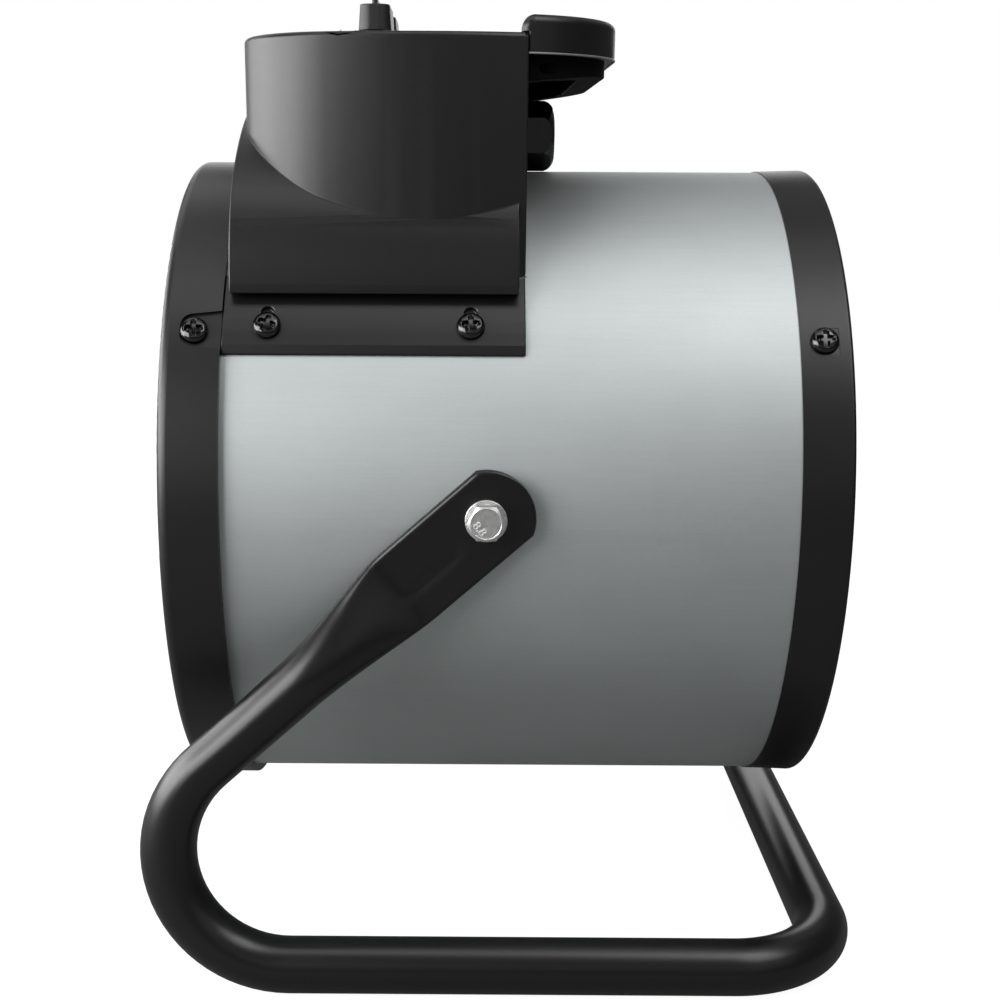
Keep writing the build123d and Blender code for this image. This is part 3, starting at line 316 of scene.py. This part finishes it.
def closed_faces(grid):
    """Corners and faces over one (rings, points, 3) grid: quads between the rings, and a fan from the
    mean of its points shuts each end ring. The volume inside is the sum of a . (b x c) / 6 over all
    triangles, so where that sum comes out negative the faces look inwards and are turned over."""
    rings, points = grid.shape[:2]
    corners = np.concatenate([grid.reshape(-1, 3), grid[:1].mean(axis=1), grid[-1:].mean(axis=1)])
    index = np.arange(rings * points).reshape(rings, points)
    far = np.roll(index, -1, axis=1)
    quads = np.stack([index[:-1], index[1:], far[1:], far[:-1]], axis=-1).reshape(-1, 4)
    first_fan = np.stack([np.full(points, rings * points), index[0], far[0]], axis=-1)
    last_fan = np.stack([np.full(points, rings * points + 1), far[-1], index[-1]], axis=-1)
    triangles = corners[np.concatenate([quads[:, :3], quads[:, [0, 2, 3]], first_fan, last_fan])]
    volume = np.einsum("ij,ij->", triangles[:, 0], np.cross(triangles[:, 1], triangles[:, 2]))
    order = -1 if volume < 0 else 1
    return corners, [block[:, ::order] for block in (quads, first_fan, last_fan)]


def skin(name, grids, node, crease=35, replaced=True, finish=None):
    """One piece made of all the grids, each closed by itself."""
    corners, faces, first = [], [], 0
    for grid in grids:
        part, blocks = closed_faces(grid)
        for block in blocks:
            faces += (first + block).tolist()
        corners.append(part)
        first += len(part)
    mesh = bpy.data.meshes.new(name)
    mesh.from_pydata(np.concatenate(corners).tolist(), [], faces)
    print(name, len(faces), "faces")
    return placed(name, mesh, node, replaced, crease, finish)


def points_of(node):
    """All corner points of a CAD node, in metres."""
    data = np.empty(len(nodes[node].data.vertices) * 3)
    nodes[node].data.vertices.foreach_get("co", data)
    return data.reshape(-1, 3)


MIDDLE = (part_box("rear_ring")[0][0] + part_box("front_ring")[1][0]) / 2
AXIS = np.array([MIDDLE, 0, 177.3 * MM])
PIVOT = np.array([MIDDLE - 7.5 * MM, 0, 185.4 * MM])
print("middle of the drum at x =", round(MIDDLE, 5), "pivot at", PIVOT)

# %% [markdown]
# ## The stand
# One 22 mm tube is bent to a U on the floor. Its two arms rise and lean forward, and their ends are
# pressed flat for the pivot bolts. A press changes a tube's shape but not the length round it, so each
# cross-section is a stadium (two half circles joined by straight lines) with that perimeter:
# the thinner it gets, the wider it is. Carrying this profile along the bent centre line gives the
# flat, the shoulder and the round tube as a single smooth skin.

# %% Profile and centre line
TUBE = 11 * MM  # radius
FLAT_THICK, FLAT_WIDE, FLAT_ROUND = 4 * MM, 33 * MM, 19 * MM  # the pressed end and its tip's radius
FLAT_GIRTH = 2 * (FLAT_WIDE - FLAT_THICK) + np.pi * FLAT_THICK
TUBE_GIRTH = 2 * np.pi * TUBE


def stadium(thick, wide, count):
    """Points evenly spaced by length round a stadium: half a straight side, a half circle of radius
    thick / 2, the other half side, and the same again turned half a turn. Gives across and outward."""
    straight = wide - thick
    s = np.arange(count // 2) * (straight + np.pi * thick / 2) / (count // 2)
    turn = (s - straight / 2) / (thick / 2)
    bow = straight / 2 + thick / 2 * np.sin(np.clip(turn, 0, np.pi))
    across = np.where(turn < 0, s, np.where(turn > np.pi, straight + np.pi * thick / 2 - s, bow))
    outward = thick / 2 * np.cos(np.clip(turn, 0, np.pi))
    return np.concatenate([across, -across], axis=1), np.concatenate([outward, -outward], axis=1)


def bent_line(corners, radii, step):
    """Points along straight runs joined by arcs: a corner is cut back by radius / tan(half its angle)."""
    arc_points = 28
    runs, at = [], corners[0]
    for before, corner, after, radius in zip(corners, corners[1:], corners[2:], radii):
        a = (before - corner) / np.linalg.norm(before - corner)
        b = (after - corner) / np.linalg.norm(after - corner)
        half = np.arccos(np.dot(a, b)) / 2
        enter = corner + a * radius / np.tan(half)
        centre = corner + (a + b) / np.linalg.norm(a + b) * radius / np.sin(half)
        count = max(2, int(np.linalg.norm(enter - at) / step))
        runs.append(at + np.linspace(0, 1, count, endpoint=False)[:, None] * (enter - at))
        out = (enter - centre) / radius
        angle = np.linspace(0, np.pi - 2 * half, arc_points, endpoint=False)[:, None]
        runs.append(centre + radius * (np.cos(angle) * out - np.sin(angle) * a))
        at = corner + b * radius / np.tan(half)
    count = max(2, int(np.linalg.norm(corners[-1] - at) / step))
    runs.append(at + np.linspace(0, 1, count)[:, None] * (corners[-1] - at))
    return np.concatenate(runs)


print("round the flat", round(FLAT_GIRTH / MM, 1), "mm, round the tube", round(TUBE_GIRTH / MM, 1), "mm")

# %% Arm of the stand
SLOPE = np.radians(41.4)
DOWN = np.array([-np.cos(SLOPE), 0, -np.sin(SLOPE)])
SHOULDER, KNEE = 43 * MM, 93 * MM  # down the arm from the pivot: the flat ends, the tube is round
ARM_FACE = 137.6 * MM  # from the middle of the heater to the inner face of an arm
RUN_Y, BAR_X = -159 * MM, MIDDLE + 132.8 * MM
REAR_BEND, FRONT_BEND = 46.4 * MM, 42 * MM


def arm_sizes(tip, reach):
    """How far the tube has opened, and its thickness and width, at each distance down the arm. Opened
    goes from 0 at the shoulder to 1 at the knee and starts softly, thickness is the flat's plus
    opened + 0.8 opened^2 - 0.8 opened^3 of what the round tube has more, and width follows from the
    perimeter. Over the tip, width is the chord of its round end."""
    soft, swell = 0.05, 0.8
    opened = (reach - SHOULDER) / (KNEE - SHOULDER)
    opened = np.minimum((opened + np.hypot(opened, soft)) / 2, 1)
    thick = FLAT_THICK + (2 * TUBE - FLAT_THICK) * (opened + swell * opened**2 - swell * opened**3)
    chord = 2 * FLAT_ROUND * np.sqrt(1 - (tip / FLAT_ROUND) ** 2)
    girth = np.interp(thick, [FLAT_THICK, 2 * TUBE], [FLAT_GIRTH, TUBE_GIRTH])
    pressed = thick + (girth - np.pi * thick) / 2
    return opened, thick, np.concatenate([chord, pressed[len(tip):]])


def half_line(reach, thick):
    """Centre line of the near half: down the arm, round the rear bend, along the floor, and round the
    front bend to the middle of the crossbar. The arm's inner face stays flat, so its centre moves out
    by half of its thickness."""
    arm = PIVOT + reach[:, None] * DOWN - (ARM_FACE + thick / 2)[:, None] * np.array([0, 1, 0])
    foot_x = PIVOT[0] - (PIVOT[2] - TUBE) / np.tan(SLOPE)
    turns = np.array([arm[-1], [foot_x, RUN_Y, TUBE], [BAR_X, RUN_Y, TUBE], [BAR_X, 0, TUBE]])
    return np.concatenate([arm, bent_line(turns, [REAR_BEND, FRONT_BEND], 3 * MM)[1:]])


print("arms lean", round(np.degrees(SLOPE), 1), "degrees, opening over", round((KNEE - SHOULDER) / MM), "mm")

# %% Stand tube
def hump(x, middle, width):
    """A smooth hump of height 1: e to the power of minus the square of the distance over width."""
    return np.exp(-((x - middle) / width) ** 2)


def near_half():
    """Grid of the near half of the stand, from the round tip of its flat end to the middle of the
    crossbar: centre + w across + n outward. Half way to the knee, w and n have gone from a stadium to
    an ellipse, which ends as the round tube. The rear bend loses up to 1.5 mm on its outer side,
    where a bend stretches a tube, and a groove 0.8 mm deep runs down the flat's face."""
    first_chord, squeeze, groove_deep = 0.11, 1.5 * MM, 0.8 * MM
    tip = -FLAT_ROUND * np.cos(np.linspace(first_chord, np.arcsin(FLAT_WIDE / 2 / FLAT_ROUND), 14))
    flat = np.linspace(tip[-1], SHOULDER, 24)[1:-1]
    reach = np.concatenate([tip, flat, np.linspace(SHOULDER, KNEE, 40)])
    opened, thick, wide = arm_sizes(tip, reach)
    centre = half_line(reach, thick)
    rest = np.full(len(centre) - len(reach), 2 * TUBE)
    thick, wide = np.concatenate([thick, rest])[:, None], np.concatenate([wide, rest])[:, None]

    along = np.gradient(centre, axis=0)
    along[:len(reach)] = DOWN
    along /= np.linalg.norm(along, axis=1)[:, None]
    in_front = centre[:, :1] > MIDDLE + 60 * MM
    outward = np.where(in_front, np.cross(along, [0, 0, 1]), [0, -1, 0])
    across = np.cross(outward, along)

    w, n = stadium(thick, wide, POINTS)
    rounder = smooth(np.concatenate([opened, np.ones(len(rest))]) / 0.5)[:, None]
    w += rounder * (wide / 2 * np.sin(AROUND) - w)
    n += rounder * (thick / 2 * np.cos(AROUND) - n)
    outer_side = w * across[:, :1] < 0
    w = w - hump(centre[:, 2:], 98 * MM, 24 * MM) * squeeze * outer_side * w / TUBE
    run = np.concatenate([reach, np.full(len(rest), 1.0)])[:, None]
    begins, ends, fade = 12 * MM, SHOULDER + 2 * MM, 6 * MM
    grooved = np.clip((run - begins) / fade, 0, 1) * np.clip((ends - run) / fade, 0, 1)
    n = n - np.where(n > 0, hump(w, 2.5 * MM, 3.2 * MM) * grooved * groove_deep, 0)
    return centre[:, None] + w[:, :, None] * across[:, None] + n[:, :, None] * outward[:, None]


half = near_half()
skin("stand_bent_tube", [np.concatenate([half, half[-2::-1] * [1, -1, 1]])], "stand_tube")

# %% [markdown]
# ## Screws round the drum
# Pan head screws are cold formed: the head is a low dome with a cross recess whose walls lean inwards.
# A head is a height over a round grid: one formula gives it at each radius and angle, and the drive
# angle turns the cross, as no two screws stop at the same place.

# %% Pan head screws
def lathe(radius, height, seat, out, along):
    """Rings of points: radius and height for each ring and angle, standing on the seat along out."""
    sideways = np.cross(out, along)
    flat = np.cos(AROUND)[:, None] * along + np.sin(AROUND)[:, None] * sideways
    radius, height = np.broadcast_arrays(radius, height)
    return seat + radius[:, :, None] * flat + height[:, :, None] * out


def pan_head(seat, out, drive):
    """Grid of one pan head screw. The dome is (1 - (r / R)^3)^0.45 of its height, and the recess goes
    down where a point is within an arm of the cross and short of its end."""
    head, tall, shank, shank_long = 5.5 * MM, 3.1 * MM, 2.4 * MM, 9.0 * MM
    arm_half, arm_end, recess_deep = 1.15 * MM, 3.9 * MM, 1.6 * MM
    side = head * np.sin(np.linspace(np.pi / 2, 0.85, 14))
    radius = np.concatenate([side, np.linspace(4.0, 0.05, 42) * MM])[:, None]
    dome = tall * (1 - (radius / head) ** 3) ** 0.45
    x, y = radius * np.cos(AROUND + drive), radius * np.sin(AROUND + drive)
    small, large = np.minimum(abs(x), abs(y)), np.maximum(abs(x), abs(y))
    recess = smooth((arm_half - small) / (0.45 * MM)) * smooth((arm_end - large) / (1.6 * MM))
    dome = dome - recess_deep * recess
    below = np.array([[shank], [shank], [head]]) + 0 * AROUND
    radius = np.concatenate([below, radius + 0 * AROUND])
    height = np.concatenate([np.array([[-shank_long], [0.0], [0.0]]) + 0 * AROUND, dome])
    return lathe(radius, height, seat, out, np.array([1.0, 0, 0]))


def dress_screws(node, name, x, angles, drive):
    """Pan head screws round the drum's axis, at each x in mm and each angle in degrees from the far
    side up. The seat's radius is the CAD's outermost point less the height of its head."""
    cad_head, near_by, turned_on = 3.0 * MM, 6 * MM, 1.1
    cad = points_of(node) - AXIS
    grids = []
    for place in x:
        mine = cad[abs(cad[:, 0] - place * MM) < near_by]
        for number, angle in enumerate(np.radians(angles)):
            out = np.array([0, np.cos(angle), np.sin(angle)])
            seat = AXIS + [place * MM, 0, 0] + ((mine @ out).max() - cad_head) * out
            grids.append(pan_head(seat, out, drive + turned_on * (number - 1) - place / 200))
    skin(name, grids, node, 40)


dress_screws("rear_ring_screws", "rear_pan_screws", [-118.9], [33.3, 180 - 33.3, 270], -0.6)
dress_screws("front_ring_screws", "front_pan_screws", [121.1], [32.4, 180 - 32.4, 270], 0.6)
dress_screws("housing_screws", "strip_pan_screws", [-91.3, -13.6], [34.3, 180 - 34.3], -0.1)

# %% [markdown]
# ## Bolts at the pivot
# The M8 bolts have a hexagon head, turned down to a 30 degree cone at its corners, and a face that is
# slightly sunk inside its rim. A hexagon is a circle whose radius changes with the angle, so the same
# round grid makes it, ring by ring from the shank to the middle of the face.

# %% Hexagon bolts
def hexagon_head(side):
    """Grid of one bolt: shank, seat, hexagon side, 30 degree cone, rim and a face sunk by 0.35 mm.
    The hexagon's radius is half its width across flats over cos(angle from the nearest flat), and
    the cone loses tan(30 degrees) of height for each step outwards from the rim."""
    flats, head_tall, shank, rim = 6.5 * MM, 5.3 * MM, 4 * MM, 5.95 * MM
    cad = points_of("pivot_bolts")
    cad = cad[cad[:, 1] * side > 0] - PIVOT
    tall, inner = abs(cad[:, 1]).max(), abs(cad[:, 1]).min()
    away = np.hypot(cad[:, 0], cad[:, 2])
    corner = cad[away.argmax()]
    along = np.array([corner[0], 0, corner[2]]) / away.max()
    reach = flats / np.cos((AROUND + 1e-9) % (np.pi / 3) - np.pi / 6)
    seat = tall - head_tall
    slant = [rim + (reach - rim) * share for share in (1, 0.66, 0.33, 0)]
    cone = [tall - (r - rim) * np.tan(np.pi / 6) for r in slant]
    face = np.array([[5.75, 0], [5.6, 0.25], [5.45, 0.35], [0.1, 0.35]]) * MM  # radius, depth
    radius = np.stack([r + 0 * AROUND for r in (shank, shank, reach, *slant, *face[:, 0])])
    height = np.stack([h + 0 * AROUND for h in (inner, seat, seat, *cone, *(tall - face[:, 1]))])
    return lathe(radius, height, PIVOT, np.array([0, side, 0]), along)


skin("hexagon_bolts", [hexagon_head(-1), hexagon_head(1)], "pivot_bolts", 20)

# %% [markdown]
# ## Screws of the handle
# Two screws hold the handle from inside the housing. In the CAD their shanks run so close to the
# handle's slanting inner wall that they would show through it, so these end 10.5 mm sooner.

# %% Handle screws
def handle_screw(side):
    """Grid of one handle screw: a low head inside the housing and a plain shank into the handle."""
    tall, shank, shorter = 2.4 * MM, 2.0 * MM, 10.5 * MM
    cad = points_of("handle_screws")
    cad = cad[cad[:, 1] * side > 0]
    low, high = cad.min(axis=0), cad.max(axis=0)
    base = np.array([low[0], (low[1] + high[1]) / 2, (low[2] + high[2]) / 2])
    head = (high[1] - low[1]) / 2
    radius = np.array([0.05 * MM, head * 0.7, head, head, shank, shank])[:, None] + 0 * AROUND
    height = np.array([0, 0, 0.8 * MM, tall, tall, high[0] - low[0] - shorter])[:, None] + 0 * AROUND
    return lathe(radius, height, base, np.array([1.0, 0, 0]), np.array([0, 1.0, 0]))


skin("handle_pan_screws", [handle_screw(-1), handle_screw(1)], "handle_screws", 35)

# %% [markdown]
# ## Strength grade on the bolts
# A bolt's strength grade, 8.8, stands up from its face. It is the standard's mark and no maker's. Text
# with a small depth and bevel becomes a mesh, and is then moved onto the face. The letters' zinc is
# painted brighter than the rest, as a painted highlight on the raised letters, and is duller.

# %% Strength grade
# Painted highlight: the letters are near white zinc, #f2f2f1 to #fafaf9.
painted_letter_highlight = plated("painted_highlight_zinc", "#f2f2f1", "#fafaf9", 0.62, 2 * MM)
lean, below_middle, sunk = np.radians(-52), 3.1 * MM, 0.3 * MM
for side, word in ((-1, "near"), (1, "far")):
    letters = bpy.data.curves.new("grade_letters", "FONT")
    letters.body = "8.8"
    letters.size = 4.5 * MM
    letters.extrude = 0.25 * MM
    letters.bevel_depth = 0.07 * MM
    letters.align_x = "CENTER"
    letters.align_y = "CENTER"
    holder = bpy.data.objects.new("grade_letters", letters)
    bpy.context.collection.objects.link(holder)
    bpy.context.view_layer.update()
    mesh = bpy.data.meshes.new_from_object(holder.evaluated_get(bpy.context.evaluated_depsgraph_get()))
    bpy.data.objects.remove(holder)
    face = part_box("pivot_bolts")[0 if side < 0 else 1][1]
    rightwards = np.array([-side * np.cos(lean), 0, np.sin(lean)])
    upright = np.array([side * np.sin(lean), 0, np.cos(lean)])
    stance = np.eye(4)
    stance[:3, :3] = np.column_stack([rightwards, upright, [0, side, 0]])
    stance[:3, 3] = [PIVOT[0], face - side * sunk, PIVOT[2]] - below_middle * upright
    mesh.transform(Matrix(stance.tolist()))
    mesh.name = "strength_grade_" + word
    placed("strength_grade_" + word, mesh, "pivot_bolts", False, 30, painted_letter_highlight)
print("bolts marked 8.8")

# %% [markdown]
# ## Eased edges
# A mould and a press leave no knife edges: each corner is rounded by a few tenths of a millimetre, and
# that thin round catches the light as a bright line. Merged copies of the housing, the handle, the two
# knobs and the washers get such an edge from a Bevel modifier, which only works where two faces meet
# at more than 30 degrees.

# %% Eased copies
def eased(node, width):
    """A copy of a CAD piece with equal points merged, flat facets joined and its hard edges rounded."""
    work = bmesh.new()
    work.from_mesh(nodes[node].data)
    bmesh.ops.remove_doubles(work, verts=work.verts, dist=0.002 * MM)
    bmesh.ops.dissolve_limit(work, angle_limit=np.radians(0.5), verts=work.verts, edges=work.edges)
    mesh = bpy.data.meshes.new(node + "_eased")
    work.to_mesh(mesh)
    work.free()
    piece = placed(node + "_eased", mesh, node, True, 14)
    bevel = piece.modifiers.new("eased_edges", "BEVEL")
    bevel.width = width * MM
    bevel.segments = 2
    bevel.limit_method = "ANGLE"
    bevel.angle_limit = np.radians(30)
    bevel.use_clamp_overlap = False
    shading = piece.modifiers.new("flat_faces_first", "WEIGHTED_NORMAL")
    shading.keep_sharp = True
    return piece


for node, width in (("control_housing", 0.5), ("handle", 0.4), ("selector_knob", 0.4),
                    ("thermostat_knob", 0.4), ("pivot_washers", 0.25)):
    print(eased(node, width).name, "edges eased by", width, "mm")

# %% [markdown]
# ## Painted shade under the handle, and a painted highlight on its edge
# The handle is moulded hollow. All of it that lies below the band is painted near black, matt and
# nearly without reflection, as painted shade for the shadow under and inside it. A thin bead runs
# round the band's lower edge, painted light grey as a painted highlight along that edge.

# %% Painted shade under the handle
BAND_FOOT, BEAD_AT, BEAD = 354.8 * MM, 355 * MM, 0.35 * MM
# Painted shade: faces below the band are coloured near black, #030303 to #070707, with little reflection,
# for the shadow under and inside the handle.
painted_shade, tree, shader, place = start("painted_shade_recess", Roughness=0.8, Specular_IOR_Level=0.12)
fine = add(tree, "ShaderNodeTexNoise", {"Vector": place, "Scale": 1 / (0.5 * MM), "Detail": 2.0})
shade = {"Fac": fine.outputs["Fac"]}
shade = add(tree, "ShaderNodeValToRGB", shade, stops=((0.3, "#030303"), (0.7, "#070707")))
tree.links.new(shade.outputs["Color"], shader.inputs["Base Color"])
handle = bpy.data.objects["handle_eased"].data
handle.materials.append(painted_shade)
middles = np.empty(len(handle.polygons) * 3)
handle.polygons.foreach_get("center", middles)
# Faces whose middle lies below the band's foot take the painted shade.
painted_shade_faces = middles[2::3] < BAND_FOOT
handle.polygons.foreach_set("material_index", painted_shade_faces.astype(np.int32))
print(int(painted_shade_faces.sum()), "faces of the handle are matt")

# %% Painted highlight bead on the handle's edge
# The band's lower edge is the outline of the CAD's points at that height. Sorted by their angle as
# seen from 60 mm inside the housing, they run from one foot of the handle round to the other.
rim = points_of("handle")
rim = rim[abs(rim[:, 2] - BEAD_AT) < 0.05 * MM]
rim = rim[convex_hull_2d([tuple(point) for point in rim[:, :2].tolist()])]
rim = rim[np.argsort(np.arctan2(rim[:, 1], rim[:, 0] - rim[:, 0].min() + 60 * MM))]
tangent = np.gradient(rim, axis=0)
tangent /= np.linalg.norm(tangent, axis=1)[:, None]
aside = np.cross(tangent, [0, 0, 1])
twelve = AROUND[::8, None]
bead = np.cos(twelve) * aside[:, None] + np.sin(twelve) * np.array([0, 0, 1])
# Painted highlight: the bead is light grey, #8c8c8c to #9a9a9a, for the bright line that light makes along
# the band's lower edge.
painted_highlight = moulded("painted_highlight_grey", "#8c8c8c", "#9a9a9a", 0.3, 0.5 * MM, 0.002 * MM)
skin("handle_highlight_bead", [rim[:, None] + BEAD * bead], "handle", 80, replaced=False, finish=painted_highlight)

# %% [markdown]
# ## Studio
# The photograph has a plain white ground and soft light from the left and from above, and little
# light comes back from below. So the floor is grey to the lamps, and to the camera alone it glows up to
# white, a little less near the heater, where the floor also catches the most light.

# %% Floor
def surround_seen(tree):
    """1 for camera and transmission rays, and a twentieth for mirror rays: the photo's drum and paint
    show a dark room under the lamps, not the white ground that was laid behind the heater."""
    path = add(tree, "ShaderNodeLightPath")
    direct = {0: path.outputs["Is Camera Ray"], 1: path.outputs["Is Transmission Ray"]}
    direct = add(tree, "ShaderNodeMath", direct, operation="MAXIMUM").outputs["Value"]
    mirrored = {0: path.outputs["Is Glossy Ray"], 1: 0.05, 2: direct}
    return add(tree, "ShaderNodeMath", mirrored, operation="MULTIPLY_ADD").outputs["Value"]


def floor_material():
    """Grey diffuse paint, plus a glow where the surround is seen: 0.95 within 0.4 m, 1 beyond 1.2 m."""
    material, tree, shader, place = start("studio_floor", Roughness=0.9)
    speck = add(tree, "ShaderNodeTexNoise", {"Vector": place, "Scale": 1 / (25 * MM), "Detail": 2.0})
    paint = {"Fac": speck.outputs["Fac"]}
    paint = add(tree, "ShaderNodeValToRGB", paint, stops=((0.3, "#6a6b6a"), (0.7, "#6e6f6e")))
    tree.links.new(paint.outputs["Color"], shader.inputs["Base Color"])
    shader.inputs["Emission Color"].default_value = (1, 1, 1, 1)
    away = add(tree, "ShaderNodeVectorMath", {0: place}, operation="LENGTH").outputs["Value"]
    glow = {"Value": away, "From Min": 0.4, "From Max": 1.2, "To Min": 0.95, "To Max": 1.0}
    glow = add(tree, "ShaderNodeMapRange", glow).outputs["Result"]
    strength = {0: surround_seen(tree), 1: glow}
    strength = add(tree, "ShaderNodeMath", strength, operation="MULTIPLY").outputs["Value"]
    tree.links.new(strength, shader.inputs["Emission Strength"])
    return material


half_floor = 6.0
corners = np.array([(-1, -1, 0), (1, -1, 0), (1, 1, 0), (-1, 1, 0)]) * half_floor
floor_mesh = bpy.data.meshes.new("studio_floor")
floor_mesh.from_pydata(corners.tolist(), [], [(0, 1, 2, 3)])
floor = bpy.data.objects.new("studio_floor", floor_mesh)
bpy.context.collection.objects.link(floor)
floor_mesh.materials.append(floor_material())
print("floor", 2 * half_floor, "m square")

# %% [markdown]
# The world is what lies past the floor: plain white to the camera, and a dim grey room, a little
# lighter overhead, for all other light.

# %% World
world = bpy.data.worlds.new("studio_world")
bpy.context.scene.world = world
world.use_nodes = True
tree = world.node_tree
direction = add(tree, "ShaderNodeTexCoord").outputs["Generated"]
height = add(tree, "ShaderNodeSeparateXYZ", {"Vector": direction}).outputs["Z"]
room = add(tree, "ShaderNodeValToRGB", {"Fac": height}, stops=((0.0, "#343535"), (1.0, "#404141")))
white = add(tree, "ShaderNodeMix", {"Factor": surround_seen(tree)}, data_type="RGBA")
tree.links.new(room.outputs["Color"], white.inputs["A"])
white.inputs["B"].default_value = (1, 1, 1, 1)
tree.links.new(white.outputs["Result"], tree.nodes["Background"].inputs["Color"])
print("world ready")

# %% [markdown]
# Softboxes stand in a ring round the heater. The tones of the drum, the rings and the tube in the
# photograph gave each one's level: a strong wall of light at the left, a high one at the right front,
# and weak ones elsewhere.

# %% Lamps
def softbox(name, azimuth, elevation, width, height, level):
    """An area lamp 1.35 m from the heater's middle and facing it. Azimuth 0 is the camera's side and
    grows to the right. The power is level * pi * area, so that equal levels look equally bright at
    any size."""
    aim, distance = Vector((0, 0, 0.2)), 1.35
    turn, rise = np.radians([azimuth, elevation])
    flat = np.cos(rise)
    place = aim + distance * Vector((np.sin(turn) * flat, -np.cos(turn) * flat, np.sin(rise)))
    lamp = bpy.data.lights.new(name, "AREA")
    lamp.shape = "RECTANGLE"
    lamp.size, lamp.size_y = width, height
    lamp.energy = level * np.pi * width * height
    holder = bpy.data.objects.new(name, lamp)
    bpy.context.collection.objects.link(holder)
    facing = (aim - place).to_track_quat("-Z", "Y").to_matrix().to_4x4()
    holder.matrix_world = Matrix.Translation(place) @ facing
    holder.visible_camera = False


lamps = (
    ("left_wall_front", -70, 12, 0.6, 0.6, 7.4),
    ("left_wall_middle", -95, 12, 0.6, 0.6, 6.7),
    ("left_wall_back", -120, 12, 0.6, 0.6, 3.3),
    ("left_front_low", -45, 20, 0.7, 0.7, 5.73),
    ("right_front_high", 45, 50, 0.7, 0.7, 2.83),
    ("back_low", 180, 15, 1.2, 0.5, 2.24),
    ("key_overhead", 0, 70, 1.8, 0.45, 1.46),
    ("left_back_high", -140, 45, 0.8, 0.8, 0.96),
    ("top", 0, 90, 1.8, 0.6, 0.67),
    ("right_front_low", 40, 20, 0.7, 0.7, 0.24),
    ("right_back_high", 140, 45, 0.8, 0.8, 0.20),
    ("front_low", 0, 14, 1.6, 0.5, 0.20),
)
for row in lamps:
    softbox(*row)
print(len(lamps), "softboxes")

# %% [markdown]
# ## Camera
# The camera was worked out from the photograph: the ends of the drum, the ring edges and the stand's
# floor run fix where it stood. It looks along Y from 0.7 m away and a little down.

# %% Camera
turn, tip, roll = np.radians([-0.1495, 14.385, 0.2994])
forward = np.array([np.sin(turn) * np.cos(tip), np.cos(turn) * np.cos(tip), -np.sin(tip)])
level = np.cross(forward, [0, 0, 1])
level /= np.linalg.norm(level)
above = np.cross(level, forward)
right = np.cos(roll) * level + np.sin(roll) * above
up = np.cos(roll) * above - np.sin(roll) * level
camera = bpy.data.objects.new("camera", bpy.data.cameras.new("camera"))
bpy.context.collection.objects.link(camera)
pose = np.eye(4)
pose[:3, :3] = np.column_stack([right, up, -forward])
pose[:3, 3] = [MIDDLE - 0.0149, -0.7037, 0.3099]
camera.matrix_world = Matrix(pose.tolist())
camera.data.lens = 55.37
camera.data.sensor_width = 36
camera.data.sensor_fit = "HORIZONTAL"
camera.data.shift_x = 0.0378
camera.data.shift_y = 0.0713
bpy.context.scene.camera = camera
bpy.context.scene.view_settings.view_transform = "Standard"
print("camera at", pose[:3, 3], "m, lens", round(camera.data.lens, 2), "mm")
